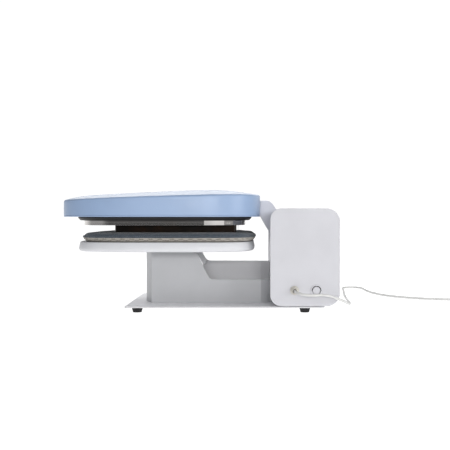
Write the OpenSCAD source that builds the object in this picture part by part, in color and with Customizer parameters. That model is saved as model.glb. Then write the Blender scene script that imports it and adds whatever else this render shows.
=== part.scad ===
// Clamshell heat press: a rear tower opens a wedge-shaped heated head above a cushioned lower platen.
// Operator at -Y, tower at +Y, +Z up; the origin is on the table, under the middle of the machine.

/* [Head] */
// Width and depth of the blue housing
housing_size = 458; // [450:1:464]
// Side of the square aluminium heating plate
plate_size = 381; // [370:1:388]
// Thickness of the aluminium heating plate
plate_t = 11; // [9:0.5:11]
// Width of the coated pressing plate
press_w = 300; // [280:1:306]
// Depth of the coated pressing plate
press_d = 278; // [240:1:282]
// Height of the crown above the side walls
crown_h = 16; // [8:0.5:18]
// Wall of the housing and of the tower's covers
wall_t = 3; // [2:0.5:3.5]

/* [Platen and pad] */
// Width and depth of the lower platen
platen_size = 412; // [404:1:416]
// Width and depth of the pad
pad_size = 406; // [396:1:408]
// Thickness of the fabric-covered cushion
cushion_t = 11.5; // [8:0.5:11.5]

/* [Stand] */
// Width of the base plate and of the tower
stand_w = 332; // [310:1:340]
// Depth of the base plate
base_d = 456; // [440:1:456]
// Depth of the tower
tower_d = 158; // [156:1:158]
// Height of the rubber feet
foot_h = 11.5; // [8:0.5:11.5]
// Distance between the outer faces of the pedestal's side panels
pedestal_w = 160; // [120:1:180]

/* [Cord] */
// Diameter of the mains cord
cord_d = 6; // [5.5:0.1:6.2]

/* [Hidden] */
$fn = 64;
fit = 0.3;
open_angle = 50;

// Heights of the stack, from the table up
sheet_t = 3;
floor_z = foot_h + sheet_t;
bay_z = floor_z + 2;
platen_z = 139.8;
platen_top_z = 161.7;
foam_z = platen_top_z + 1.3;
cushion_z = 172.1;
pad_top_z = cushion_z + cushion_t - fit;
press_z = 183.6;
plate_z = 199.5;
skirt_z = plate_z + plate_t;
housing_z = 218.8;

// Places along Y
housing_y = -90.25;
plate_y = -85.7;
press_y = -55;
platen_y = -80.8;
pad_y = -74.8;
base_y0 = -170.5;
tower_y0 = 161.5;
tower_y1 = tower_y0 + tower_d;
nose_y = -136.5;
shell_y0 = tower_y0 + 2;
shell_y1 = tower_y1 - 4;
panel_y0 = -118.5;
tower_top_z = 237.7;

// Hinge, crank and drive
pivot_y = 236;
pivot_z = 110;
shaft_r = 10;
arm_r = 22;
arm_half_w = 60;
arm_angle = 56;
crank_r = 45;
crank_rise = open_angle / 2;
pin_r = 4;
screw_y = pivot_y + crank_r * (1 + cos(crank_rise)) / 2;
nut_z = pivot_z + crank_r * sin(crank_rise);
screw_r = 6;

// Switch and gland on the tower's right side
gland_y = 216.5;
gland_z = 51.8;
rocker_y = 266.4;
rocker_z = 51.3;

// Route of the cord from the gland to the coil
cord_points = [
    [182, 216.5, 51.8], [192, 216.8, 51.7], [202, 218.9, 50.6], [210.5, 224.5, 48.8], [216, 233, 47],
    [218, 243.5, 45.8], [217, 257, 45.3], [212, 270.5, 45.5], [205, 282, 44.5], [197, 292, 42.2],
    [190, 300, 39.6], [183, 308.5, 36], [174, 317.5, 32], [161, 325.5, 28], [140, 331.5, 24.5],
    [110, 337, 20], [75, 344, 14.3], [40, 352.5, 9], [12, 358.5, 5], [-18, 362.5, 3.2], [-60, 364, 3],
    [-130, 366, 3], [-200, 369, 3], [-270, 374, 3], [-340, 380, 3], [-395, 385, 3], [-422, 386, 3],
    [-446, 389, 3], [-465, 398, 3], [-473, 416.5, 3], [-465, 435, 3], [-446, 444, 3],
    [-420, 446, 3], [-385, 447, 3], [-335, 451, 3], [-280, 461, 3], [-225, 480, 3], [-182, 508, 3],
    [-148, 545, 3], [-121, 590, 3], [-104, 640, 3.5], [-93, 679, 4.2]
];
coil_base = 1;
coil_center = [-127.5, 689];
coil_mid_r = 33;

// How square the rounded outlines are (2 is a circle), and how many points go round them
outline_power = 4.4;
outline_steps = 96;

// ---------------------------------------------------------------- shared shapes

// Points round a square of this width whose sides and corners run into each other
function outline(w) = [
    for (i = [0:outline_steps - 1])
        let (
            a = 360 * (i + 0.5) / outline_steps,
            reach = pow(abs(cos(a)), outline_power) + pow(abs(sin(a)), outline_power),
            r = w / 2 / pow(reach, 1 / outline_power)
        )
        [r * cos(a), r * sin(a)]
];

module rounded(w, d, r) {
    union() {
        square([w - 2 * r, d], center = true);
        square([w, d - 2 * r], center = true);
        for (x = [-1, 1], y = [-1, 1])
            translate([x * (w / 2 - r), y * (d / 2 - r)]) circle(r);
    }
}

// A sheet lying in the YZ plane, drawn as [y, z] points, from x0 to x0 + t
module side_sheet(points, x0, t) {
    translate([x0, 0, 0]) rotate([90, 0, 90]) linear_extrude(t) polygon(points);
}

// A round bar along X
module bar_x(x0, y, z, r, len) {
    translate([x0, y, z]) rotate([0, 90, 0]) cylinder(r = r, h = len);
}

// A pan-head screw with its head up at the origin and a cross recess in it
module screw(r, head_r, head_h, len) {
    slot = 0.9;
    difference() {
        union() {
            cylinder(r = head_r, h = head_h * 0.6);
            translate([0, 0, head_h * 0.6]) cylinder(r1 = head_r, r2 = head_r * 0.8, h = head_h * 0.4);
            translate([0, 0, -len]) cylinder(r = r, h = len + 0.5);
        }
        for (a = [0, 90]) rotate([0, 0, a])
            translate([-head_r * 0.55, -slot / 2, head_h * 0.35]) cube([head_r * 1.1, slot, head_h]);
    }
}

function arc(cx, cy, r, a0, a1, steps) = [
    for (i = [0:steps]) [cx + r * cos(a0 + (a1 - a0) * i / steps), cy + r * sin(a0 + (a1 - a0) * i / steps)]
];

// ---------------------------------------------------------------- base and feet

foot_places = [for (x = [-143, 143], y = [-143.5, 241]) [x, y]];
foot_hole_r = 2.7;
nut_r = 4.6;
foot_head_z = 4;

module base_plate() {
    color("gainsboro") difference() {
        translate([0, base_y0 + base_d / 2, foot_h]) linear_extrude(sheet_t) rounded(stand_w, base_d, 8);
        for (p = foot_places)
            translate([p[0], p[1], foot_h - 1]) cylinder(r = nut_r + 0.06, h = sheet_t + 2, $fn = 6);
        for (p = concat(pedestal_holes, cover_screw_places))
            translate([p[0], p[1], foot_h - 1]) cylinder(r = 2.2, h = sheet_t + 2);
        for (p = cover_screw_places)
            translate([p[0], p[1], foot_h - 0.01]) cylinder(r1 = 3.5, r2 = 2.2, h = 1.5);
    }
}

module rubber_feet() {
    color("#202022") for (p = foot_places) translate([p[0], p[1], 0]) difference() {
        cylinder(r1 = 10, r2 = 13, h = foot_h);
        translate([0, 0, -1]) cylinder(r = 6, h = 5);
        translate([0, 0, 3]) cylinder(r = foot_hole_r, h = foot_h);
    }
}

module foot_screws() {
    color("silver") for (p = foot_places) translate([p[0], p[1], foot_head_z]) rotate([180, 0, 0])
        screw(2.4, 4.5, 2.2, floor_z - foot_head_z - 0.3);
}

// Nuts pressed into the base plate, flush with its top
module foot_nuts() {
    color("silver") for (p = foot_places) translate([p[0], p[1], foot_h]) difference() {
        cylinder(r = nut_r, h = sheet_t, $fn = 6);
        translate([0, 0, -1]) cylinder(r = 2.45, h = 6);
    }
}

// ---------------------------------------------------------------- pedestal

panel_t = 2.5;
near_rim_z = 69.8;
far_rim_z = 106;
slope_top = [-15.6, platen_z];
slope_mid = [2.6, 108];
slope_run = 0.418;
rim_r = 16;
bend_y = 141;
bend_in = 9;
flange_w = 25;
web_half_w = pedestal_w / 2 - panel_t - 0.1;
screw_x = web_half_w - 15.4;
pedestal_holes = [for (x = [-screw_x, screw_x], y = [-90, 20, 120]) [x, y]];

// A side panel: sloped behind the nose, then a low rim; its rear end bends inward to the tower
module pedestal_panel(side, rim_z, slope) {
    x_out = side * pedestal_w / 2;
    x_in = x_out - side * panel_t;
    center_z = rim_z + rim_r;
    center_y = slope_mid[0] + (slope_mid[1] - center_z) * slope + rim_r / cos(atan(slope));
    side_sheet(concat(
        [[panel_y0, floor_z], [bend_y, floor_z], [bend_y, rim_z]],
        arc(center_y, center_z, rim_r, 270, 180 + atan(slope), 6),
        [slope_top, [panel_y0, platen_z]]
    ), min(x_in, x_out), panel_t);
    translate([0, 0, floor_z]) linear_extrude(rim_z - floor_z) polygon([
        [x_out, bend_y - 0.5], [x_out - side * bend_in, shell_y0], [x_in - side * bend_in, shell_y0],
        [x_in, bend_y - 0.5]
    ]);
}

// The foot flange that the screws go through, folded inward from a side panel
module pedestal_flange(side) {
    difference() {
        translate([side > 0 ? web_half_w - flange_w : -web_half_w, panel_y0 + 6, floor_z])
            cube([flange_w, bend_y - panel_y0 - 12, panel_t]);
        for (p = pedestal_holes) translate([p[0], p[1], floor_z - 1]) cylinder(r = 2.2, h = 6);
    }
}

module pedestal_right_panel() {
    color("lightgray") union() {
        pedestal_panel(1, near_rim_z, slope_run);
        pedestal_flange(1);
    }
}

module pedestal_left_panel() {
    color("lightgray") union() {
        pedestal_panel(-1, far_rim_z, (slope_mid[0] - slope_top[0]) / (platen_z - slope_mid[1]));
        pedestal_flange(-1);
        translate([-pedestal_w / 2, 15, far_rim_z - 4.5]) cube([5, bend_y - 15, 4.5]);
    }
}

module pedestal_nose() {
    w = web_half_w;
    nose = [
        [-w, panel_y0], [-34, nose_y], [34, nose_y], [w, panel_y0],
        [w, panel_y0 + 2.7], [33.5, nose_y + panel_t], [-33.5, nose_y + panel_t], [-w, panel_y0 + 2.7]
    ];
    color("gainsboro") translate([0, 0, floor_z]) linear_extrude(platen_z - floor_z) polygon(nose);
}

// The sloping sheet between the panels, down to the higher rim, with a stiffening fold at each end
module pedestal_slope_web() {
    web = [
        [-17.5, platen_z - 3.1], [-14.5, platen_z - 3.1], [slope_mid[0], slope_mid[1]],
        [slope_mid[0], far_rim_z - 6], [slope_mid[0] - 2.4, far_rim_z - 6],
        [slope_mid[0] - 2.4, slope_mid[1] - 0.7]
    ];
    color("#c4c4c8") side_sheet(web, -web_half_w, 2 * web_half_w);
}

platen_bolt_places = [for (x = [-50, 50], y = [-95, -35]) [x, y]];

module pedestal_top() {
    color("gainsboro") difference() {
        translate([-web_half_w, panel_y0 + 3, platen_z - 3])
            cube([2 * web_half_w, 98, 3]);
        for (p = platen_bolt_places) translate([p[0], p[1], platen_z - 4]) cylinder(r = 3.2, h = 5);
    }
}

module pedestal_screws() {
    color("silver") for (p = pedestal_holes) translate([p[0], p[1], floor_z + panel_t])
        screw(2, 4, 2.4, panel_t + sheet_t - 0.2);
}

module platen_bolts() {
    color("silver") for (p = platen_bolt_places) translate([p[0], p[1], platen_z - 3]) rotate([180, 0, 0])
        screw(3, 5.5, 4, 13);
}

// ---------------------------------------------------------------- lower platen and pad

// A slab with the shared outline, narrowed by inset at each listed level [z, inset]
module outline_slab(w, levels) {
    steps = outline_steps;
    rings = [for (l = levels) [for (p = outline(w - 2 * l[1])) [p[0], p[1], l[0]]]];
    last = len(levels) - 1;
    polyhedron(
        points = [for (r = rings) for (p = r) p],
        faces = concat(
            [[for (i = [0:steps - 1]) i]],
            [for (k = [0:last - 1], i = [0:steps - 1])
                let (j = (i + 1) % steps, a = k * steps)
                [a + i, a + steps + i, a + steps + j, a + j]],
            [[for (i = [steps - 1:-1:0]) last * steps + i]]
        )
    );
}

// Pockets around the middle of the platen's underside: their pitch, and the middle and outer widths
pocket_pitch = 118;
pocket_w = [152, 72];

module lower_platen() {
    color("whitesmoke") translate([0, platen_y, 0]) difference() {
        outline_slab(platen_size, [
            [platen_z, 5], [platen_z + 1.2, 2], [platen_z + 3.5, 0.3], [platen_z + 6, 0],
            [platen_top_z - 1, 3.6], [platen_top_z, 5]
        ]);
        for (x = [-1:1], y = [-1:1])
            if (x != 0 || y != 0)
                translate([x * pocket_pitch - pocket_w[abs(x)] / 2, y * pocket_pitch - pocket_w[abs(y)] / 2,
                    platen_z - 1]) cube([pocket_w[abs(x)], pocket_w[abs(y)], 16]);
        for (p = platen_bolt_places)
            translate([p[0], p[1] - platen_y, platen_z - 1]) cylinder(r = 3.05, h = 13);
    }
}

module pad_backing() {
    color("#1c1c1e") translate([0, pad_y, platen_top_z]) linear_extrude(foam_z - platen_top_z)
        polygon(outline(pad_size - 14));
}

module pad_foam() {
    color("#b9b2a6") translate([0, pad_y, 0])
        outline_slab(pad_size, [[foam_z, 7], [foam_z + 5.5, 2], [cushion_z, 1]]);
}

module pad_cover() {
    color("#46545f") translate([0, pad_y, 0]) outline_slab(pad_size, [
        [cushion_z, 1], [cushion_z + 2.5, 0], [cushion_z + 5, 1.2], [pad_top_z - 2, 6],
        [pad_top_z - 0.7, 12], [pad_top_z, 24]
    ]);
}

// ---------------------------------------------------------------- tower

cover_t = 12;
shell_inset = 2;
shell_half_w = stand_w / 2 - cover_t;
cover_screw_places = [for (x = [-159.4, 159.4], y = [200, 280]) [x, y]];

// The tower's side outline in the YZ plane, drawn with +X as its normal
module tower_outline(inset, z0) {
    y0 = tower_y0 + inset;
    y1 = tower_y1 - inset;
    z1 = tower_top_z - inset;
    front_r = 25 - inset;
    rear_r = 30 - inset;
    polygon(concat(
        arc(y1 - rear_r, z0 + rear_r, rear_r, -90, 0, 12),
        arc(y1 - rear_r, z1 - rear_r, rear_r, 0, 90, 12),
        arc(y0 + front_r, z1 - front_r, front_r, 90, 180, 12),
        arc(y0 + front_r, z0 + front_r, front_r, 180, 270, 12)
    ));
}

module tower_cover(side, holes) {
    cover_z = floor_z + 1.3;
    x_in = side > 0 ? shell_half_w : -stand_w / 2;
    x_wall = side > 0 ? shell_half_w - 1 : -stand_w / 2 + wall_t;
    difference() {
        union() {
            difference() {
                translate([x_in, 0, 0]) rotate([90, 0, 90]) linear_extrude(cover_t)
                    tower_outline(0, cover_z);
                translate([x_wall, 0, 0]) rotate([90, 0, 90]) linear_extrude(cover_t - wall_t + 1)
                    tower_outline(wall_t + 0.4, cover_z + wall_t);
            }
            for (p = cover_screw_places) if (p[0] * side > 0)
                translate([p[0], p[1], cover_z]) cylinder(r = 4.5, h = 14);
        }
        if (holes) {
            bar_x(shell_half_w - 2, gland_y, gland_z, 6.6, cover_t + 4);
            bar_x(shell_half_w - 2, rocker_y, rocker_z, switch_r + 0.2, cover_t + 4);
        }
        for (p = cover_screw_places) translate([p[0], p[1], cover_z - 1]) cylinder(r = 1.75, h = 12);
    }
}

module tower_right_cover() {
    color("whitesmoke") tower_cover(1, true);
}

module tower_left_cover() {
    color("whitesmoke") tower_cover(-1, false);
}

// The wrap between the covers, with a slot in the front and top that the arm swings through
module tower_shell() {
    slot_half_w = arm_half_w + 5;
    slot_end_y = 301;
    color("gainsboro") difference() {
        translate([-shell_half_w, 0, 0]) rotate([90, 0, 90]) linear_extrude(2 * shell_half_w)
            tower_outline(shell_inset, floor_z);
        translate([-shell_half_w - 1, 0, 0]) rotate([90, 0, 90]) linear_extrude(2 * shell_half_w + 2)
            tower_outline(shell_inset + 2, bay_z);
        translate([-slot_half_w, tower_y0 - 5, 168]) cube([2 * slot_half_w, slot_end_y - tower_y0 + 5, 90]);
    }
}

// The covers are held from below, through the base plate, by countersunk screws
module cover_screws() {
    color("silver") for (p = cover_screw_places) translate([p[0], p[1], foot_h + 0.1]) difference() {
        union() {
            cylinder(r1 = 3.3, r2 = 1.7, h = 1.6);
            cylinder(r = 1.7, h = 14);
        }
        for (a = [0, 90]) rotate([0, 0, a]) translate([-1.8, -0.4, -1]) cube([3.6, 0.8, 2]);
    }
}

frame_x = 68;
frame_t = 4;
bush_r = 13;

module tower_frame(x0) {
    difference() {
        union() {
            side_sheet(concat(
                [[196, bay_z], [286, bay_z], [302, 60]],
                arc(pivot_y, pivot_z, 30, 20, 160, 10),
                [[172, 60]]
            ), x0, frame_t);
            translate([x0 > 0 ? x0 : x0 - 20, 200, bay_z]) cube([24, 82, frame_t]);
        }
        bar_x(x0 - 1, pivot_y, pivot_z, bush_r, frame_t + 2);
    }
}

module tower_frame_right() {
    color("dimgray") tower_frame(frame_x);
}

module tower_frame_left() {
    color("dimgray") tower_frame(-frame_x - frame_t);
}

module hinge_bushes() {
    color("goldenrod") for (side = [-1, 1]) difference() {
        union() {
            bar_x(side > 0 ? frame_x : -frame_x - frame_t, pivot_y, pivot_z, bush_r, frame_t);
            bar_x(side > 0 ? frame_x + frame_t : -frame_x - frame_t - 2, pivot_y, pivot_z, bush_r + 3, 2);
        }
        bar_x(side > 0 ? frame_x - 1 : -frame_x - frame_t - 3, pivot_y, pivot_z, shaft_r + 0.05, frame_t + 5);
    }
}

// ---------------------------------------------------------------- drive

motor_z = 19;
motor_shelf_z = 58;
bearing_z = 153;
drive_back_y = 298;

module drive_frame() {
    color("dimgray") difference() {
        union() {
            translate([-30, drive_back_y, 34]) cube([60, 3, bearing_z + 6 - 34]);
            translate([-30, screw_y - 16, bearing_z]) cube([60, drive_back_y - screw_y + 17, 6]);
            translate([-30, screw_y - 26, motor_shelf_z]) cube([60, drive_back_y - screw_y + 27, 3]);
            translate([-30, drive_back_y, 60]) cube([60, shell_y1 - drive_back_y, 3]);
        }
        translate([0, screw_y, bearing_z - 1]) cylinder(r = 4.05, h = 8);
        translate([0, screw_y, motor_shelf_z - 1]) cylinder(r = 8, h = 5);
    }
}

module drive_motor() {
    color("#3a3a3c") translate([0, screw_y, 0]) {
        translate([0, 0, motor_z]) cylinder(r = 19, h = motor_shelf_z - motor_z);
        translate([0, 0, motor_shelf_z - 0.5]) cylinder(r = 7.5, h = 3);
        translate([0, 0, motor_shelf_z]) cylinder(r = 3, h = 7);
    }
}

module motor_coupling() {
    color("silver") translate([0, screw_y, 64]) difference() {
        cylinder(r = 9, h = 14);
        translate([0, 0, -1]) cylinder(r = 3.05, h = 7);
        translate([0, 0, 6]) cylinder(r = 4.05, h = 9);
    }
}

module lead_screw() {
    color("silver") translate([0, screw_y, 0]) {
        translate([0, 0, 70]) cylinder(r = 4, h = 9);
        translate([0, 0, 79]) cylinder(r = screw_r, h = bearing_z - 79.3);
        translate([0, 0, bearing_z - 1]) cylinder(r = 4, h = 8);
    }
}

lug_x = 13;
lug_t = 6;

// The nut runs on the screw; its two lugs carry level slots for the crank's pins
module drive_nut() {
    color("goldenrod") translate([0, screw_y, nut_z]) difference() {
        union() {
            translate([0, 0, -6]) cylinder(r = 11, h = 12);
            for (x = [-lug_x - lug_t, lug_x]) translate([x, -11, -7]) cube([lug_t, 22, 14]);
            translate([-lug_x, -6, -6]) cube([2 * lug_x, 12, 12]);
        }
        translate([0, 0, -8]) cylinder(r = screw_r + 0.08, h = 16);
        for (x = [-lug_x - lug_t - 1, lug_x - 1]) hull() {
            bar_x(x, -3.2, 0, pin_r + 0.6, lug_t + 2);
            bar_x(x, 3.2, 0, pin_r + 0.6, lug_t + 2);
        }
    }
}

pin_y = pivot_y + crank_r * cos(crank_rise);
fork_x = 21;
fork_t = 5;

module crank_fork() {
    color("#58585c") difference() {
        union() {
            bar_x(-fork_x - fork_t, pivot_y, pivot_z, 17, 2 * (fork_x + fork_t));
            for (x = [-fork_x - fork_t, fork_x]) hull() {
                bar_x(x, pivot_y, pivot_z, 16, fork_t);
                bar_x(x, pin_y, nut_z, 8.5, fork_t);
            }
        }
        bar_x(-40, pivot_y, pivot_z, shaft_r, 80);
        for (x = [-fork_x - fork_t - 1, fork_x - 1]) bar_x(x, pin_y, nut_z, pin_r, fork_t + 2);
    }
}

module crank_pins() {
    color("silver") for (x = [-fork_x - fork_t - 2, lug_x + 1]) bar_x(x, pin_y, nut_z, pin_r, 14);
}

module hinge_shaft() {
    color("silver") bar_x(-80, pivot_y, pivot_z, shaft_r, 160);
}

module control_board() {
    color("seagreen") translate([96, 196, bay_z + 10]) cube([48, 88, 1.6]);
    color("#222222") translate([100, 202, bay_z + 11.6]) cube([20, 26, 10]);
    color("#222222") translate([124, 232, bay_z + 11.6]) cube([14, 20, 9]);
    color("#222222") translate([102, 262, bay_z + 11.6]) cube([34, 12, 8]);
}

module board_standoffs() {
    color("white") for (x = [101, 139], y = [199, 280]) translate([x, y, bay_z]) cylinder(r = 3, h = 10);
}

// ---------------------------------------------------------------- gland, switch and cord

face_x = stand_w / 2;

module cord_gland() {
    color("#e1e1da") difference() {
        union() {
            bar_x(face_x - 16, gland_y, gland_z, 6.4, 17);
            bar_x(face_x, gland_y, gland_z, 10, 4);
            translate([face_x + 4, gland_y, gland_z]) rotate([0, 90, 0]) cylinder(r1 = 8, r2 = 4.6, h = 16);
        }
        bar_x(face_x - 17, gland_y, gland_z, cord_d / 2 + 0.2, 40);
    }
}

module gland_nut() {
    color("#e1e1da") difference() {
        translate([face_x - 9, gland_y, gland_z]) rotate([0, 90, 0]) cylinder(r = 10, h = 5.8, $fn = 6);
        bar_x(face_x - 10, gland_y, gland_z, 6.5, 8);
    }
}

switch_r = 11;
rocker_r = 8.7;

module switch_body() {
    color("#18181a") difference() {
        union() {
            bar_x(face_x, rocker_y, rocker_z, switch_r + 1.4, 1.8);
            bar_x(face_x - 22, rocker_y, rocker_z, switch_r, 23);
        }
        bar_x(face_x - 8, rocker_y, rocker_z, switch_r - 0.8, 12);
        rocker_pin(1.26, switch_r - 0.25);
    }
}

// The rocker's level pivot pin
module rocker_pin(r, reach) {
    translate([face_x - 3, rocker_y, rocker_z]) rotate([90, 0, 0])
        cylinder(r = r, h = 2 * reach, center = true);
}

// The rocker is tilted one way at rest and turns about a level axis to the other
module power_rocker() {
    color("#d8d4cc") union() {
        intersection() {
            bar_x(face_x - 6, rocker_y, rocker_z, rocker_r, 12);
            translate([face_x - 3, rocker_y, rocker_z]) rotate([0, 8, 0]) translate([-3, -10, -12])
                cube([6, 20, 24]);
        }
        rocker_pin(1.2, switch_r - 0.5);
    }
}

// One ring of the cord at a point, square to the way it runs
function unit(v) = v / norm(v);
function direction(pts, i) = unit(pts[min(i + 1, len(pts) - 1)] - pts[max(i - 1, 0)]);
function ring(p, d, r, sides) =
    let (side = unit(cross(d, [0, 0, 1])), up = cross(side, d))
    [for (k = [0:sides - 1]) p + r * (cos(360 * k / sides) * side + sin(360 * k / sides) * up)];
// Points on the smooth curve through the route
function curve_point(a, b, c, d, t) =
    0.5 * (2 * b + (c - a) * t + (2 * a - 5 * b + 4 * c - d) * t * t + (3 * b - a - 3 * c + d) * t * t * t);
function smooth(pts, per) = concat(
    [for (i = [0:len(pts) - 2], k = [0:per - 1])
        curve_point(pts[max(i - 1, 0)], pts[i], pts[i + 1], pts[min(i + 2, len(pts) - 1)], k / per)],
    [pts[len(pts) - 1]]
);

module sweep(pts, r, sides) {
    n = len(pts);
    polyhedron(
        points = [for (i = [0:n - 1]) each ring(pts[i], direction(pts, i), r, sides)],
        faces = concat(
            [[for (k = [sides - 1:-1:0]) k]],
            [for (i = [0:n - 2], k = [0:sides - 1])
                let (a = i * sides, j = (k + 1) % sides)
                [a + k, a + j, a + sides + j, a + sides + k]],
            [[for (k = [0:sides - 1]) (n - 1) * sides + k]]
        )
    );
}

module cord_run() {
    color("#dcdcd4") sweep(smooth(cord_points, 2), cord_d / 2, 8);
}

coil_r = coil_mid_r;
coil_half_w = cord_d + 0.25;
coil_h = cord_d * (1 + sqrt(3) / 2) + 0.5;

module cord_coil() {
    color("#dcdcd4") translate([coil_center[0], coil_center[1], coil_base]) rotate_extrude()
        translate([coil_r, coil_h / 2]) rounded(2 * coil_half_w, coil_h, 2.9);
}

plug_tail = [coil_center[0] + 38, coil_center[1] + 46, 9];

// The last stretch, from the top of the coil to the plug
module cord_tail() {
    tail_z = coil_base + coil_h - cord_d / 2;
    color("#dcdcd4") sweep(smooth([
        [coil_center[0] + 32, coil_center[1] - 7, tail_z], [coil_center[0] + 33, coil_center[1] + 6, tail_z],
        [coil_center[0] + 36, coil_center[1] + 26, 9.2], [plug_tail[0], plug_tail[1] + 1, 9]
    ], 2), cord_d / 2, 8);
}

module cord_tie() {
    color("#303034") translate([coil_center[0] - coil_r, coil_center[1] + 4, coil_base + coil_h / 2])
        rotate([90, 0, 0]) linear_extrude(8) difference() {
            rounded(2 * coil_half_w + 2, coil_h + 2, 2);
            rounded(2 * coil_half_w + 0.2, coil_h + 0.2, 2.4);
        }
}

plug_w = 27;
plug_h = 18;
plug_len = 25;

module plug() {
    color("#dcdcd4") translate([plug_tail[0], plug_tail[1], plug_h / 2]) rotate([-90, 0, 0]) union() {
        cylinder(r1 = 4.4, r2 = 7, h = 22);
        translate([0, 0, 20]) linear_extrude(plug_len) rounded(plug_w, plug_h, 5);
        translate([0, 0, 20 + plug_len]) linear_extrude(2) rounded(plug_w - 4, plug_h - 4, 4);
    }
}

module plug_pins() {
    front = plug_tail[1] + 22 + plug_len;
    color("silver") translate([plug_tail[0], front, plug_h / 2]) {
        for (x = [-6.35, 6.35]) translate([x - 0.75, 0, -4]) cube([1.5, 17, 6.3]);
        translate([0, 0, 4.2]) rotate([-90, 0, 0]) cylinder(r = 2.4, h = 19);
    }
}

// ---------------------------------------------------------------- arm

down_y = cos(arm_angle);
down_z = -sin(arm_angle);

// A point on the arm, along it from the pivot and across it towards the rear
function arm_point(along, across) =
    [pivot_y - along * down_y - across * down_z, pivot_z - along * down_z + across * down_y];

arm_front = 60;
arm_bend = arm_point(113, -arm_r);
arm_top_z = 257.2;
// The rounded corner between the back of the arm and its top
elbow_r = 20;
elbow_y =
    pivot_y + arm_r / sin(arm_angle) - (arm_top_z - pivot_z) / tan(arm_angle) - elbow_r * tan(arm_angle / 2);

function elbow(r, a0, a1) = arc(elbow_y, arm_top_z - elbow_r, r, a0, a1, 6);
arm_outline = concat(
    arc(pivot_y, pivot_z, arm_r, arm_angle - 146, arm_angle - 22, 10),
    [arm_point(0, arm_r)],
    elbow(elbow_r, 90 - arm_angle, 90),
    [[arm_front, arm_top_z], [arm_front, 229.5], [133, 229.5], arm_bend]
);

module arm() {
    color("#c9c9d2") difference() {
        union() {
            for (x = [-arm_half_w, arm_half_w - 3]) side_sheet(arm_outline, x, 3);
            // front wall, from near the hinge to the bend
            side_sheet([
                arm_point(26, -arm_r), arm_bend, [133, 229.5], [136, 229.5], arm_point(113, -arm_r + 3),
                arm_point(26, -arm_r + 3)
            ], -arm_half_w + 1, 2 * arm_half_w - 2);
            // rear wall above the drive, and the top
            side_sheet(concat(
                [arm_point(80, arm_r)],
                elbow(elbow_r, 90 - arm_angle, 90),
                [[arm_front, arm_top_z], [arm_front, arm_top_z - 3]],
                elbow(elbow_r - 3, 90, 90 - arm_angle),
                [arm_point(80, arm_r - 3)]
            ), -arm_half_w + 1, 2 * arm_half_w - 2);
            for (x = [-arm_half_w - 4, arm_half_w]) bar_x(x, pivot_y, pivot_z, 16, 4);
        }
        bar_x(-90, pivot_y, pivot_z, shaft_r, 180);
    }
}

// ---------------------------------------------------------------- head

front_y = housing_y - housing_size / 2;

// Height of the side walls, and of the crown above them, at a place along the housing
function along(y) = max(0, min(1, (y - front_y) / housing_size));
function rim_z(y) = 255.6 + 22.5 * along(y) - 8.5 * pow(along(y), 2);
function quarter(w) = sqrt(1 - pow(1 - min(1, max(0, w)), 2));
function crown(y) =
    (0.74 + 0.38 * along(y)) * crown_h * quarter(along(y) / 0.16) * (1 - pow(1 - min(1, (1 - along(y)) / 0.32), 2));
function half_w(y) =
    housing_size / 2 *
    pow(max(0, 1 - pow(abs(y - housing_y) / (housing_size / 2), outline_power)), 1 / outline_power);
function roof_z(x, y) = rim_z(y) + crown(y) * (1 - pow(min(1, abs(x) / max(1, half_w(y))), 2.5));

outer_levels = [[1, 0], [1, 1], [0.996, 2], [0.985, 3], [0.95, 3], [0.88, 3], [0.76, 3], [0.58, 3], [0.3, 3]];

// A dome: side walls up to the rim, then the crown, drawn as rings that shrink towards the middle
module dome(size, base_z, drop) {
    edge = outline(size);
    function height(kind, x, y) =
        kind == 0 ? base_z :
        kind == 1 ? rim_z(y) - 4.5 - drop :
        kind == 2 ? rim_z(y) - 1.2 - drop : roof_z(x, y) - drop;
    rings = [
        for (l = outer_levels) [
            for (p = edge)
                let (x = p[0] * l[0], y = p[1] * l[0] + housing_y) [x, y, height(l[1], x, y)]
        ]
    ];
    n = outline_steps;
    last = len(outer_levels) - 1;
    polyhedron(
        points = concat([for (r = rings) for (p = r) p], [[0, housing_y, roof_z(0, housing_y) - drop]]),
        faces = concat(
            [[for (i = [0:n - 1]) i]],
            [for (k = [0:last - 1], i = [0:n - 1])
                let (j = (i + 1) % n, a = k * n)
                [a + i, a + n + i, a + n + j]],
            [for (k = [0:last - 1], i = [0:n - 1])
                let (j = (i + 1) % n, a = k * n)
                [a + i, a + n + j, a + j]],
            [for (i = [0:n - 1]) [last * n + i, (last + 1) * n, last * n + (i + 1) % n]]
        )
    );
}

// The control panel lies in the front of the crown, level from side to side and sloping with it
panel_y = -268;
panel_w = 150;
panel_d = 44;
panel_front_z = roof_z(panel_w / 2, panel_y - panel_d / 2);
panel_rear_z = roof_z(panel_w / 2, panel_y + panel_d / 2);
panel_tilt = atan((panel_rear_z - panel_front_z) / panel_d);
panel_z = (panel_front_z + panel_rear_z) / 2;

module on_panel() {
    translate([0, panel_y, panel_z]) rotate([panel_tilt, 0, 0]) children();
}

boss_places = [for (x = [-185, 185], y = [-270, 90]) [x, y]];

module head_housing() {
    color("#9cb1d0") difference() {
        union() {
            difference() {
                dome(housing_size, housing_z, 0);
                dome(housing_size - 2 * wall_t, housing_z - 5, wall_t);
            }
            for (p = boss_places) translate([p[0], p[1], chassis_z + 0.5])
                cylinder(r = 6, h = roof_z(p[0], p[1]) - chassis_z - 2);
        }
        for (p = boss_places) translate([p[0], p[1], chassis_z]) cylinder(r = 1.7, h = 14);
        translate([-arm_half_w - 2, 100, housing_z - 1]) cube([2 * arm_half_w + 4, 60, 259 - housing_z + 1]);
        on_panel() translate([-panel_w / 2 - 0.2, -panel_d / 2 - 0.2, -12])
            cube([panel_w + 0.4, panel_d + 0.4, 30]);
    }
}

chassis_z = 229;
chassis_t = 3;
standoff_places = [for (x = [-150, 0, 150], y = [-235, 60]) [x, y]];

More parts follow.
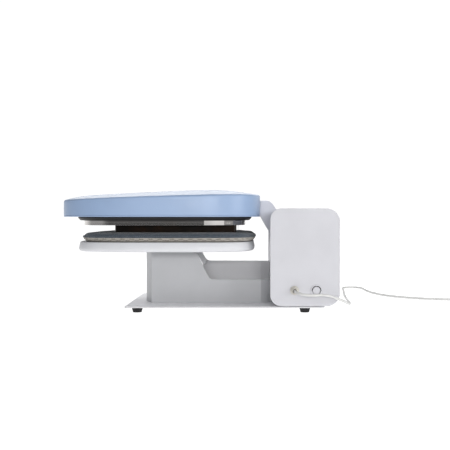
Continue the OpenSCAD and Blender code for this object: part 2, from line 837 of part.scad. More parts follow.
module head_chassis() {
    color("#8c8c90") difference() {
        union() {
            translate([0, housing_y, chassis_z - 2.5]) linear_extrude(chassis_t)
                polygon(outline(housing_size - 18));
            for (x = [-arm_half_w - 3.2, arm_half_w + 0.2]) translate([x, -60, chassis_z])
                cube([3, 185, 24]);
        }
        for (p = standoff_places) translate([p[0], p[1], chassis_z - 5]) cylinder(r = 3.2, h = 10);
        for (p = boss_places) translate([p[0], p[1], chassis_z - 5]) cylinder(r = 2, h = 10);
    }
}

module housing_screws() {
    color("silver") for (p = boss_places) translate([p[0], p[1], chassis_z - 2.5]) rotate([180, 0, 0])
        screw(1.65, 3.4, 2, 14);
}

module skirt_frame() {
    color("#1b1b1d") translate([0, plate_y, 0]) difference() {
        union() {
            translate([0, 0, housing_z - 3]) linear_extrude(3) polygon(outline(plate_size + 25));
            translate([0, 0, skirt_z]) linear_extrude(housing_z - 2 - skirt_z)
                polygon(outline(plate_size + 17));
        }
        translate([0, 0, skirt_z - 1]) linear_extrude(12) square(plate_size - 60, center = true);
    }
}

probe_x = 31.5;

module insulation_board() {
    color("#d9d2bc") difference() {
        translate([0, plate_y, housing_z]) linear_extrude(7) polygon(outline(plate_size + 15));
        for (p = standoff_places) translate([p[0], p[1], housing_z - 1]) cylinder(r = 6.2, h = 10);
        translate([probe_x, plate_y - 60, housing_z - 1]) cylinder(r = 5.6, h = 10);
    }
}

module heat_plate() {
    groove = 0.8;
    color("#b8b6b2") translate([0, plate_y, plate_z]) difference() {
        union() {
            linear_extrude(plate_t / 2 - 0.6) polygon(outline(plate_size));
            translate([0, 0, plate_t / 2 - 0.7]) linear_extrude(1.4)
                polygon(outline(plate_size - 2 * groove));
            translate([0, 0, plate_t / 2 + 0.6]) linear_extrude(plate_t / 2 - 0.6)
                polygon(outline(plate_size));
        }
        for (p = standoff_places)
            translate([p[0], p[1] - plate_y, plate_t - 7]) cylinder(r = 2.56, h = 8);
    }
}

element_r = 3.4;
element_pitch = 63;
element_run = 200;

module heating_element() {
    color("#6e5f56") translate([0, plate_y, skirt_z + element_r]) {
        for (i = [-2:2]) translate([i * element_pitch, -element_run / 2, 0]) rotate([-90, 0, 0])
            cylinder(r = element_r, h = element_run);
        for (i = [-2:1]) translate([(i + 0.5) * element_pitch, (i % 2 == 0 ? 1 : -1) * element_run / 2, 0])
            rotate([0, 0, i % 2 == 0 ? 0 : 180]) rotate_extrude(angle = 180)
                translate([element_pitch / 2, 0]) circle(element_r);
    }
}

module temperature_probe() {
    color("silver") translate([probe_x, plate_y - 60, skirt_z]) {
        cylinder(r = 4, h = 12);
        translate([0, 0, 3]) cylinder(r = 4.6, h = 3, $fn = 6);
    }
}

module press_plate() {
    color("#17130f") translate([0, press_y, press_z]) union() {
        linear_extrude(1) rounded(press_w - 2, press_d - 2, 4);
        translate([0, 0, 0.9]) linear_extrude(plate_z - press_z - 0.9) rounded(press_w, press_d, 5);
    }
}

module plate_standoffs() {
    color("silver") for (p = standoff_places) translate([p[0], p[1], 0]) {
        translate([0, 0, skirt_z]) cylinder(r = 6, h = chassis_z - 2.5 - skirt_z);
        translate([0, 0, skirt_z - 6]) cylinder(r = 2.5, h = 7);
        translate([0, 0, chassis_z - 3]) cylinder(r = 3, h = 6);
        translate([0, 0, chassis_z + 0.5]) cylinder(r = 5, h = 4, $fn = 6);
    }
}

// ---------------------------------------------------------------- control panel

button_w = 16;
button_places = [[48, 8], [30, 8], [30, -9], [48, -9]];

module button_shape(gap) {
    linear_extrude(8) rounded(button_w - 2 - 2 * gap, 11 - 2 * gap, 4);
}

module control_bezel() {
    color("#26262a") on_panel() translate([0, 0, -3]) difference() {
        linear_extrude(3) rounded(panel_w, panel_d, 1);
        for (p = button_places) translate([p[0], p[1], -2]) button_shape(0);
        translate([-62, -15, 1.4]) cube([72, 30, 4]);
    }
}

module display_window() {
    color("#0c1014") on_panel() translate([-61.8, -14.8, -1.6]) cube([71.6, 29.6, 1.4]);
}

module panel_board() {
    color("seagreen") on_panel() translate([-70, -19, -9]) cube([140, 38, 1.6]);
}

module button(k) {
    on_panel() translate([button_places[k][0], button_places[k][1], -5]) union() {
        linear_extrude(5.4) rounded(button_w - 2.8, 10.2, 3.7);
        linear_extrude(1.6) rounded(button_w - 0.6, 12, 2);
    }
}

module button_start() {
    color("#4f9a6a") button(0);
}

module button_up() {
    color("#d8d8dc") button(1);
}

module button_down() {
    color("#d8d8dc") button(2);
}

module button_menu() {
    color("#d8d8dc") button(3);
}

// ---------------------------------------------------------------- assembly

base_plate();
rubber_feet();
foot_screws();
foot_nuts();
pedestal_right_panel();
pedestal_left_panel();
pedestal_nose();
pedestal_slope_web();
pedestal_top();
pedestal_screws();
lower_platen();
platen_bolts();
pad_backing();
pad_foam();
pad_cover();
tower_right_cover();
tower_left_cover();
tower_shell();
cover_screws();
tower_frame_right();
tower_frame_left();
hinge_bushes();
drive_frame();
drive_motor();
control_board();
board_standoffs();
cord_gland();
gland_nut();
switch_body();
power_rocker();
cord_run();
cord_coil();
cord_tail();
cord_tie();
plug();
plug_pins();
lead_screw();
motor_coupling();
drive_nut();
arm();
hinge_shaft();
crank_fork();
crank_pins();
head_housing();
head_chassis();
housing_screws();
skirt_frame();
insulation_board();
heat_plate();
heating_element();
temperature_probe();
press_plate();
plate_standoffs();
control_bezel();
display_window();
panel_board();
button_start();
button_up();
button_down();
button_menu();
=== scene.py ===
import math

import bmesh
import bpy
from mathutils import Matrix, Vector, noise


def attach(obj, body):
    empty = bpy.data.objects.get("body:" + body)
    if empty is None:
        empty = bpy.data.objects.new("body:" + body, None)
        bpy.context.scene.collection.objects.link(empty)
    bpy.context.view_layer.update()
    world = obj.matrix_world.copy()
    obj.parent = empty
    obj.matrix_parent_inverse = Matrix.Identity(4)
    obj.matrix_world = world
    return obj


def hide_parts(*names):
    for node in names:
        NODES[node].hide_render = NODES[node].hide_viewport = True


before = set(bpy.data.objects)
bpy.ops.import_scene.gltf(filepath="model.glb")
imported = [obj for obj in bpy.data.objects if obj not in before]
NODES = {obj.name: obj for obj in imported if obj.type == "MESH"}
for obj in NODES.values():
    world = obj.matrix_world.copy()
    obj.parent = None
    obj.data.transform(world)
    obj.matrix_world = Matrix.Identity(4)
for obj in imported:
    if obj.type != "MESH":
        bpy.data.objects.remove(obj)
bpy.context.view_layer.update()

MM = 0.001
SCENE = bpy.context.scene


def clamp(value, low=0.0, high=1.0):
    return max(low, min(high, value))


# ---------------------------------------------------------------- camera

# The picture is taken square to the machine's right side, a little above the platen.
CAMERA_PLACE = (2.066, 0.13125, 0.225)
CAMERA_LENS = 67.0
CAMERA_SHIFT = (-0.0711, -0.0244)


def make_camera():
    data = bpy.data.cameras.new("camera")
    data.lens = CAMERA_LENS
    data.sensor_width = 36
    data.shift_x, data.shift_y = CAMERA_SHIFT
    data.clip_start, data.clip_end = 0.05, 60
    camera = bpy.data.objects.new("camera", data)
    camera.location = CAMERA_PLACE
    camera.rotation_euler = (math.radians(90), 0, math.radians(90))
    SCENE.collection.objects.link(camera)
    SCENE.camera = camera


make_camera()

# ---------------------------------------------------------------- mains cord

# Millimetres, as in the CAD: from the gland, round the tower, and out to a coil beyond the view.
CORD_D = 6.0
CORD_POINTS = [
    (182, 216.5, 51.8), (192, 216.8, 51.7), (202, 218.9, 50.6), (210.5, 224.5, 48.8),
    (216, 233, 47), (218, 243.5, 45.8), (217, 257, 45.3), (212, 270.5, 45.5), (205, 282, 44.5),
    (197, 292, 42.2), (190, 300, 39.6), (183, 308.5, 36), (174, 317.5, 32), (161, 325.5, 28),
    (140, 331.5, 24.5), (110, 337, 20), (75, 344, 14.3), (40, 352.5, 9), (12, 358.5, 5),
    (-18, 362.5, 3.2), (-60, 364, 3), (-130, 366, 3), (-200, 369, 3), (-270, 374, 3),
    (-340, 380, 3), (-395, 385, 3), (-422, 386, 3), (-446, 389, 3), (-465, 398, 3),
    (-473, 416.5, 3), (-465, 435, 3), (-446, 444, 3), (-420, 446, 3), (-385, 447, 3),
    (-335, 451, 3), (-280, 461, 3), (-225, 480, 3), (-182, 508, 3), (-148, 545, 3),
    (-121, 590, 3), (-104, 640, 3.5), (-93, 679, 4.2),
]
COIL_CENTER = Vector((-127.5, 689, 0))
COIL_STEPS = 18
# The coil's three turns: outer and inner on the table, the third lying on both
COIL_LANES = [(36.1, 4.25), (29.9, 4.25), (33.0, 9.5)]
PLUG_TAIL = Vector((-89.5, 735, 9))


def catmull(a, b, c, d, t):
    return 0.5 * (2 * b + (c - a) * t + (2 * a - 5 * b + 4 * c - d) * t * t
                  + (3 * b - a - 3 * c + d) * t ** 3)


def smooth_route(points, per):
    """Points on the smooth curve through a route."""
    vectors = [Vector(p) for p in points]
    last = len(vectors) - 1
    route = []
    for i in range(last):
        around = [vectors[max(i - 1, 0)], vectors[i], vectors[i + 1], vectors[min(i + 2, last)]]
        route += [catmull(*around, k / per) for k in range(per)]
    return route + [vectors[last]]


def coil_route():
    """The turns of the coil, each easing into the next over its last part."""
    turns = len(COIL_LANES)
    steps = turns * COIL_STEPS
    route = []
    for k in range(1, steps):
        share = k / COIL_STEPS
        lane = min(int(share), turns - 1)
        ease = 0.0 if lane == turns - 1 else clamp((share - lane - 0.62) / 0.38)
        ease = ease * ease * (3 - 2 * ease)
        here, after = COIL_LANES[lane], COIL_LANES[min(lane + 1, turns - 1)]
        radius = here[0] + (after[0] - here[0]) * ease
        height = here[1] + (after[1] - here[1]) * ease
        angle = 2 * math.pi * share - 0.10
        route.append(COIL_CENTER + Vector(
            (radius * math.cos(angle), radius * math.sin(angle), height)))
    return route


def cord_centreline():
    tail = [COIL_CENTER + Vector((33.4, 3, 9.5)), COIL_CENTER + Vector((35, 18, 9.4)),
            COIL_CENTER + Vector((37, 32, 9.1)), PLUG_TAIL + Vector((0, 1, 0))]
    return [Vector(p) for p in CORD_POINTS[:-1]] + coil_route() + tail


def route_length(points):
    fine = smooth_route(points, 8)
    return sum((b - a).length for a, b in zip(fine, fine[1:]))


# ---------------------------------------------------------------- materials


class Finish:
    """A procedural material whose colour, roughness and bump vary in the object's own space."""

    def __init__(self, name, color, rough, metallic=0.0, edge=0.0, **sockets):
        self.material = bpy.data.materials.new(name)
        self.material.use_nodes = True
        self.tree = self.material.node_tree
        self.shader = self.tree.nodes["Principled BSDF"]
        self.shader.inputs["Base Color"].default_value = (*color, 1)
        self.shader.inputs["Roughness"].default_value = rough
        self.shader.inputs["Metallic"].default_value = metallic
        for key, value in sockets.items():
            self.shader.inputs[key.replace("_", " ")].default_value = value
        self.place = self.node("ShaderNodeTexCoord").outputs["Object"]
        self.color = color
        self.color_out = None
        self.normal_out = None
        if edge:
            bevel = self.node("ShaderNodeBevel", samples=4)
            bevel.inputs["Radius"].default_value = edge * MM
            self.normal_out = bevel.outputs["Normal"]
            self.link(self.normal_out, self.shader.inputs["Normal"])

    def node(self, kind, **props):
        made = self.tree.nodes.new(kind)
        for key, value in props.items():
            setattr(made, key, value)
        return made

    def link(self, output, socket):
        self.tree.links.new(output, socket)

    def feed(self, socket, value):
        if isinstance(value, bpy.types.NodeSocket):
            self.link(value, socket)
        else:
            socket.default_value = value

    def math(self, operation, a, b=0.0, c=0.0):
        made = self.node("ShaderNodeMath", operation=operation)
        for socket, value in zip(made.inputs, (a, b, c)):
            self.feed(socket, value)
        return made.outputs[0]

    def spread(self, value, low, high, to_low=0.0, to_high=1.0):
        made = self.node("ShaderNodeMapRange", clamp=True)
        for socket, fed in zip(made.inputs, (value, low, high, to_low, to_high)):
            self.feed(socket, fed)
        return made.outputs[0]

    def stretched(self, scale):
        made = self.node("ShaderNodeMapping")
        made.inputs["Scale"].default_value = scale
        self.link(self.place, made.inputs["Vector"])
        return made.outputs[0]

    def axes(self, place=None):
        made = self.node("ShaderNodeSeparateXYZ")
        self.link(place or self.place, made.inputs[0])
        return made.outputs

    def noise(self, size, detail=2.0, place=None):
        """Noise whose features are about size millimetres across."""
        made = self.node("ShaderNodeTexNoise")
        made.inputs["Scale"].default_value = 1 / (size * MM)
        made.inputs["Detail"].default_value = detail
        self.link(place or self.place, made.inputs["Vector"])
        return made.outputs["Fac"]

    def cells(self, size, feature="F1", place=None):
        made = self.node("ShaderNodeTexVoronoi", feature=feature)
        made.inputs["Scale"].default_value = 1 / (size * MM)
        self.link(place or self.place, made.inputs["Vector"])
        return made.outputs["Distance"]

    def wave(self, value, pitch):
        """A 0 to 1 wave along a coordinate in metres, one every pitch millimetres."""
        turn = self.math("MULTIPLY", value, 2 * math.pi / (pitch * MM))
        return self.math("MULTIPLY_ADD", self.math("SINE", turn), 0.5, 0.5)

    def tint(self, color, share):
        """Turns towards a colour where share is 1."""
        made = self.node("ShaderNodeMix", data_type="RGBA")
        self.feed(made.inputs["Factor"], share)
        self.feed(made.inputs[6], self.color_out or (*self.color, 1))
        made.inputs[7].default_value = (*color, 1)
        self.color_out = made.outputs[2]
        self.link(self.color_out, self.shader.inputs["Base Color"])
        return self

    def roughen(self, value, low, high):
        """Roughness from low to high as value goes from 0.3 to 0.7."""
        self.link(self.spread(value, 0.3, 0.7, low, high), self.shader.inputs["Roughness"])
        return self

    def bump(self, height, depth, strength=1.0):
        """Bump of a height from 0 to 1, depth millimetres deep."""
        made = self.node("ShaderNodeBump")
        made.inputs["Strength"].default_value = strength
        made.inputs["Distance"].default_value = depth * MM
        self.link(height, made.inputs["Height"])
        if self.normal_out:
            self.link(self.normal_out, made.inputs["Normal"])
        self.normal_out = made.outputs["Normal"]
        self.link(self.normal_out, self.shader.inputs["Normal"])
        return self


def shade(color, factor):
    return tuple(clamp(c * factor) for c in color)


def paint(name, color, rough=0.42, grain=0.9, dust=0.93):
    """Powder coat: a fine orange peel, faint cloudiness and painted shade low down, darker below
    about 14 mm.
    """
    made = Finish(name, color, rough, edge=0.7, Specular_IOR_Level=0.45)
    made.tint(shade(color, dust), made.spread(made.noise(70, 4), 0.35, 0.75))
    made.tint(shade(color, 0.9), made.spread(made.noise(2.2, 2), 0.66, 0.74, 0, 0.5))
    # Painted shade: below about 14 mm, as on the base plate's edge, the paint turns darker.
    made.tint(shade(color, 0.6), made.spread(made.axes()[2], 14.4 * MM, 13.8 * MM))
    made.roughen(made.noise(16, 3), rough - 0.05, rough + 0.08)
    return made.bump(made.noise(grain, 3), 0.05).material


def moulded(name, color, rough, grain=0.5, coat=0.0, edge=0.8, depth=0.03):
    """Moulded plastic: spark texture, slow tone drift and small handling marks."""
    made = Finish(name, color, rough, edge=edge, Coat_Weight=coat, Coat_Roughness=0.18)
    made.tint(shade(color, 0.94), made.spread(made.noise(90, 3), 0.4, 0.7))
    marks = made.spread(made.noise(1.5, 2, made.stretched((1, 0.07, 1))), 0.7, 0.78, 0, 0.35)
    made.tint(shade(color, 1.08), marks)
    made.roughen(made.noise(9, 4), rough - 0.05, rough + 0.07)
    return made.bump(made.noise(grain, 2), depth).material


def turned(name, color, rough, axis, edge=0.3, pitch=0.35):
    """Bare metal with fine tool lines that run across one axis."""
    made = Finish(name, color, rough, metallic=1.0, edge=edge)
    scale = [0.04, 0.04, 0.04]
    scale["xyz".index(axis)] = 1.0
    lines = made.noise(pitch, 3, made.stretched(tuple(scale)))
    made.tint(shade(color, 0.72), made.spread(lines, 0.35, 0.7))
    made.tint(shade(color, 0.6), made.spread(made.noise(12, 4), 0.6, 0.8, 0, 0.5))
    made.roughen(lines, rough - 0.08, rough + 0.12)
    return made.bump(lines, 0.02).material


def galvanised():
    """Zinc-coated sheet: spangles of different tone."""
    made = Finish("galvanised", (0.5, 0.51, 0.52), 0.4, metallic=1.0, edge=0.5)
    made.tint((0.36, 0.37, 0.39), made.spread(made.cells(9), 0.15, 0.75))
    made.tint((0.6, 0.61, 0.62), made.spread(made.noise(4, 3), 0.5, 0.75, 0, 0.6))
    made.roughen(made.cells(9), 0.3, 0.5)
    return made.bump(made.noise(3, 3), 0.03).material


def blackened(name, color):
    """Phosphated or black-painted steel with rubbed, paler patches."""
    made = Finish(name, color, 0.5, metallic=0.35, edge=0.6)
    made.tint(shade(color, 1.5), made.spread(made.noise(14, 5), 0.55, 0.75))
    made.roughen(made.noise(5, 4), 0.4, 0.62)
    return made.bump(made.noise(0.8, 3), 0.05).material


def plated():
    """Zinc-plated fasteners, a little dull, with faint turning marks."""
    made = Finish("plated", (0.62, 0.63, 0.65), 0.3, metallic=1.0, edge=0.25)
    made.tint((0.45, 0.45, 0.46), made.spread(made.noise(1.2, 3), 0.45, 0.7))
    made.roughen(made.noise(2, 3), 0.22, 0.42)
    return made.bump(made.noise(0.3, 2), 0.01).material


def milled_plate():
    """The aluminium plate: saw lines along its edges and a polished, slightly stained face."""
    made = Finish("milled_plate", (0.62, 0.605, 0.595), 0.04, metallic=1.0)
    lines = made.noise(1.1, 3, made.stretched((0.01, 0.01, 1)))
    made.tint((0.54, 0.525, 0.515), made.spread(lines, 0.35, 0.65))
    made.tint((0.56, 0.52, 0.48), made.spread(made.noise(60, 2), 0.5, 0.8, 0, 0.5))
    made.roughen(lines, 0.03, 0.045)
    return made.bump(lines, 0.0002).material


def coated_plate():
    """The dark non-stick coating: near black with a brown cast and a faint orange peel."""
    made = Finish("coated_plate", (0.006, 0.0045, 0.0032), 0.2, edge=0.8, Specular_IOR_Level=0.35)
    made.tint((0.022, 0.010, 0.004), made.spread(made.noise(60, 3), 0.45, 0.75))
    made.roughen(made.noise(20, 4), 0.06, 0.09)
    return made.bump(made.noise(2.5, 3), 0.006).material


def slate_weave():
    """Slate cloth: a plain weave of heathered threads."""
    color = (0.046, 0.063, 0.085)
    made = Finish("slate_weave", color, 0.9, Sheen_Weight=0.25, Sheen_Roughness=0.5)
    x, y, z = made.axes()
    over = made.wave(made.math("ADD", x, z), 1.5)
    under = made.wave(made.math("ADD", y, z), 1.5)
    weave = made.math("MAXIMUM", over, under)
    made.tint((0.026, 0.036, 0.052), made.spread(weave, 0.45, 0.1, 0, 0.8))
    made.tint((0.105, 0.135, 0.165), made.spread(made.noise(1.9, 3), 0.52, 0.66, 0, 0.75))
    made.tint((0.034, 0.046, 0.062), made.spread(made.noise(5, 3), 0.5, 0.7, 0, 0.8))
    made.bump(weave, 0.35)
    return made.bump(made.noise(0.6, 2), 0.12).material


def knit(name, color, dark):
    """Spacer knit: small loops in rows, with fuzz."""
    made = Finish(name, color, 0.92, Sheen_Weight=0.2, Sheen_Roughness=0.6)
    loops = made.cells(1.3)
    made.tint(dark, made.spread(loops, 0.35, 0.7, 0, 0.75))
    made.tint(shade(color, 0.8), made.spread(made.noise(6, 3), 0.45, 0.7, 0, 0.7))
    made.bump(made.spread(loops, 0.1, 0.6, 1, 0), 0.4)
    return made.bump(made.noise(0.5, 2), 0.1).material


def rubber(name, color, rough=0.72):
    made = Finish(name, color, rough, edge=0.6, Specular_IOR_Level=0.3)
    made.tint(shade(color, 1.9), made.spread(made.noise(7, 4), 0.5, 0.75, 0, 0.7))
    made.roughen(made.noise(3, 3), rough - 0.08, rough + 0.1)
    return made.bump(made.noise(0.5, 3), 0.06).material


def fibre_board():
    """Mineral insulation: pressed fibres with darker flecks."""
    made = Finish("fibre_board", (0.6, 0.53, 0.4), 0.95, edge=0.5)
    fibres = made.noise(1.2, 4, made.stretched((1, 0.2, 1)))
    made.tint((0.42, 0.35, 0.24), made.spread(fibres, 0.45, 0.7))
    made.tint((0.3, 0.25, 0.18), made.spread(made.noise(0.9, 2), 0.68, 0.74, 0, 0.8))
    return made.bump(fibres, 0.3).material


def circuit_board():
    """Solder mask over traces, with pads where cells meet."""
    made = Finish("circuit_board", (0.006, 0.07, 0.035), 0.35, edge=0.2, Coat_Weight=0.3)
    x = made.axes()[0]
    tracks = made.math("MULTIPLY", made.wave(x, 2.4), made.spread(made.noise(9, 1), 0.48, 0.5))
    made.tint((0.02, 0.16, 0.08), made.spread(tracks, 0.55, 0.6))
    pads = made.spread(made.cells(5), 0.16, 0.12)
    made.tint((0.55, 0.5, 0.38), pads)
    made.roughen(made.noise(4, 3), 0.28, 0.42)
    return made.bump(tracks, 0.08).material


def smoked_glass():
    """The display's window: nearly black, clear and even, with faint wiping marks."""
    made = Finish("smoked_glass", (0.008, 0.010, 0.014), 0.08, Coat_Weight=0.5, Coat_Roughness=0.04)
    marks = made.noise(3, 4, made.stretched((1, 0.2, 1)))
    made.tint((0.016, 0.019, 0.024), made.spread(marks, 0.5, 0.75))
    made.roughen(marks, 0.06, 0.16)
    return made.bump(made.noise(18, 2), 0.02).material


ROCKER_Y, ROCKER_Z = 266.4, 51.3


def collar_with_painted_gap_shadow():
    """The switch's collar: pale, with a painted shadow, a dark ring round the upper half where the
    gap round the rocker lies in shade; the ring breaks at the top.
    """
    # The near-black base colour is the painted shadow in the gap; the pale tint covers the rest of
    # the collar.
    made = Finish("collar_with_painted_gap_shadow", (0.014, 0.014, 0.015), 0.36, edge=0.4)
    axes = made.axes()
    across = made.math("SUBTRACT", axes["Y"], ROCKER_Y * MM)
    up = made.math("SUBTRACT", axes["Z"], ROCKER_Z * MM)
    squares = made.math("ADD", made.math("POWER", across, 2), made.math("POWER", up, 2))
    reach = made.math("SQRT", squares)
    outside = made.spread(reach, 10.8 * MM, 11.2 * MM)
    below = made.spread(up, -0.8 * MM, -1.6 * MM)
    parted = made.spread(made.math("ABSOLUTE", across), 1.5 * MM, 1.1 * MM)
    pale = made.math("MAXIMUM", outside, made.math("MAXIMUM", below, parted))
    made.tint((0.53, 0.53, 0.56), pale)
    specks = made.spread(made.noise(2, 2), 0.6, 0.75, 0, 0.4)
    made.tint((0.5, 0.5, 0.52), made.math("MULTIPLY", pale, specks))
    made.roughen(made.noise(4, 3), 0.32, 0.5)
    return made.bump(made.noise(0.5, 2), 0.02).material


def vinyl(name, color, rough=0.42):
    """Soft vinyl of the cord and its mouldings."""
    made = Finish(name, color, rough, Specular_IOR_Level=0.4)
    made.tint(shade(color, 0.9), made.spread(made.noise(25, 3), 0.45, 0.75))
    made.tint(shade(color, 0.82), made.spread(made.noise(1.6, 3), 0.64, 0.74, 0, 0.5))
    made.roughen(made.noise(6, 3), rough - 0.06, rough + 0.1)
    return made.bump(made.noise(0.8, 2), 0.05).material


MATERIALS = {
    # Painted light and shade: grey_paint and white_paint act as a shaded and a lit copy of the
    # pedestal's one paint. grey_paint darkens the near panel and nose, and white_paint brightens
    # the far panel and web; white_paint also covers the base plate.
    "white_paint": paint("white_paint", (0.86, 0.86, 0.88)),
    "platen_paint": paint("platen_paint", (0.60, 0.605, 0.63)),
    "grey_paint": paint("grey_paint", (0.42, 0.425, 0.44)),
    "arm_paint": paint("arm_paint", (0.58, 0.59, 0.65)),
    "shell_paint": paint("shell_paint", (0.70, 0.70, 0.735)),
    "cover_plastic": moulded("cover_plastic", (0.50, 0.50, 0.53), 0.48),
    "blue_shell": moulded("blue_shell", (0.25, 0.345, 0.515), 0.4, coat=0.08),
    "skirt_black": moulded("skirt_black", (0.004, 0.004, 0.0045), 0.6, edge=0.6),
    "plate_alu": milled_plate(),
    "press_coating": coated_plate(),
    "pad_fabric": slate_weave(),
    "pad_foam": knit("spacer_knit", (0.40, 0.375, 0.335), (0.20, 0.18, 0.155)),
    "pad_rubber": rubber("pad_rubber", (0.012, 0.012, 0.012)),
    "foot_rubber": rubber("foot_rubber", (0.011, 0.011, 0.012)),
    "screw_steel": plated(),
    "ground_steel": turned("ground_steel", (0.55, 0.55, 0.56), 0.3, "x"),
    "frame_steel": blackened("frame_steel", (0.07, 0.07, 0.075)),
    "chassis_steel": galvanised(),
    "frame_alu": turned("frame_alu", (0.62, 0.62, 0.63), 0.32, "z"),
    "bronze": turned("bronze", (0.48, 0.29, 0.11), 0.34, "x"),
    "motor_black": blackened("motor_black", (0.022, 0.022, 0.024)),
    "circuit_board": circuit_board(),
    "nylon": moulded("nylon", (0.7, 0.7, 0.66), 0.5, edge=0.3),
    "gland_cream": vinyl("gland_cream", (0.52, 0.50, 0.45), 0.45),
    "cord_jacket": vinyl("cord_jacket", (0.56, 0.56, 0.55)),
    "tie_black": rubber("tie_black", (0.02, 0.02, 0.022)),
    "plug_brass": turned("plug_brass", (0.62, 0.48, 0.22), 0.28, "y"),
    "switch_black": collar_with_painted_gap_shadow(),
    "switch_light": moulded("switch_light", (0.52, 0.52, 0.55), 0.42, edge=0.7),
    "insulation": fibre_board(),
    "element_steel": turned("element_steel", (0.24, 0.16, 0.12), 0.45, "y"),
    "bezel_black": moulded("bezel_black", (0.016, 0.016, 0.019), 0.34, coat=0.25, edge=0.5),
    "display_glass": smoked_glass(),
    "button_green": moulded("button_green", (0.05, 0.22, 0.10), 0.42, edge=0.7),
    "button_grey": moulded("button_grey", (0.60, 0.60, 0.62), 0.42, edge=0.7),
}
# Painted shade for the floors of the band's slots: a dark knit that stands for the shade inside
# them.
KNIT_HOLE_SHADE = knit("knit_hole_painted_shade", (0.10, 0.085, 0.07), (0.03, 0.025, 0.02))
THREAD = vinyl("thread", (0.16, 0.18, 0.20), 0.7)
SEGMENTS = moulded("segments", (0.10, 0.13, 0.13), 0.3, edge=0.0)
SYMBOLS = moulded("symbols", (0.05, 0.05, 0.055), 0.45, edge=0.0)
SYMBOL_LIGHT = moulded("symbol_light", (0.75, 0.78, 0.75), 0.45, edge=0.0)

for part in NODES.values():
    for holder in part.material_slots:
        holder.material = MATERIALS[holder.material.name.split(".")[0]]


# ---------------------------------------------------------------- mesh helpers


def place(name, mesh, body, slot, replaces=()):
    """Puts a mesh in the scene with its slot's material, riding on a body."""
    if not mesh.materials:
        mesh.materials.append(MATERIALS[slot])
    piece = bpy.data.objects.new(name, mesh)
    SCENE.collection.objects.link(piece)
    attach(piece, body)
    if replaces:
        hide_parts(*replaces)
    return piece


def smooth(mesh, degrees=32):
    mesh.polygons.foreach_set("use_smooth", [True] * len(mesh.polygons))
    mesh.set_sharp_from_angle(angle=math.radians(degrees))


def from_faces(name, points, faces, degrees=32):
    """A mesh from points in millimetres."""
    mesh = bpy.data.meshes.new(name)
    mesh.from_pydata([Vector(p) * MM for p in points], [], faces)
    mesh.validate()
    tidy = bmesh.new()
    tidy.from_mesh(mesh)
    bmesh.ops.remove_doubles(tidy, verts=tidy.verts, dist=1e-6)
    bmesh.ops.recalc_face_normals(tidy, faces=tidy.faces)
    tidy.to_mesh(mesh)
    tidy.free()
    smooth(mesh, degrees)
    return mesh


OUTLINE_POWER = 4.4


def squircle(size, steps):
    """Evenly spaced points round a superellipse of this width."""
    power = OUTLINE_POWER
    fine = []
    for k in range(steps * 8):
        a = 2 * math.pi * k / (steps * 8)
        reach = (abs(math.cos(a)) ** power + abs(math.sin(a)) ** power) ** (-1 / power) * size / 2
        fine.append((reach * math.cos(a), reach * math.sin(a)))
    gaps = [math.dist(fine[k], fine[(k + 1) % len(fine)]) for k in range(len(fine))]
    step, points, run, k = sum(gaps) / steps, [], 0.0, 0
    for i in range(steps):
        while run + gaps[k] < i * step:
            run += gaps[k]
            k += 1
        share = (i * step - run) / gaps[k]
        a, b = fine[k], fine[(k + 1) % len(fine)]
        points.append((a[0] + (b[0] - a[0]) * share, a[1] + (b[1] - a[1]) * share))
    return points


def ring_faces(rings, steps, closed=False):
    """Quads between successive rings of the same number of points."""
    pairs = [(k, k + 1) for k in range(rings - 1)] + ([(rings - 1, 0)] if closed else [])
    return [(a * steps + i, a * steps + (i + 1) % steps, b * steps + (i + 1) % steps, b * steps + i)
            for a, b in pairs for i in range(steps)]


def skin(name, rings, degrees=32):
    """A closed solid through rings, capped at both ends."""
    steps = len(rings[0])
    faces = ring_faces(len(rings), steps)
    faces.append(tuple(range(steps))[::-1])
    faces.append(tuple(range((len(rings) - 1) * steps, len(rings) * steps)))
    return from_faces(name, [p for ring in rings for p in ring], faces, degrees)


def block(name, low, high, turn=None):
    """A box, used only to cut openings."""
    mesh = bpy.data.meshes.new(name)
    corners = [Vector((x, y, z)) for x in (low[0], high[0]) for y in (low[1], high[1])
               for z in (low[2], high[2])]
    if turn:
        corners = [turn @ c for c in corners]
    faces = [(0, 1, 3, 2), (4, 6, 7, 5), (0, 4, 5, 1), (2, 3, 7, 6), (0, 2, 6, 4), (1, 5, 7, 3)]
    mesh.from_pydata([c * MM for c in corners], [], faces)
    return bpy.data.objects.new(name, mesh)


def cut(mesh, cutters, degrees=32):
    """The mesh with every cutter taken out of it."""
    holder = bpy.data.objects.new("holder", mesh)
    SCENE.collection.objects.link(holder)
    for cutter in cutters:
        SCENE.collection.objects.link(cutter)
        modifier = holder.modifiers.new("cut", "BOOLEAN")
        modifier.object = cutter
        modifier.solver = "EXACT"
    graph = bpy.context.evaluated_depsgraph_get()
    result = bpy.data.meshes.new_from_object(holder.evaluated_get(graph))
    for spare in [holder, *cutters]:
        bpy.data.objects.remove(spare)
    smooth(result, degrees)
    return result


# ---------------------------------------------------------------- the cord and what is on it


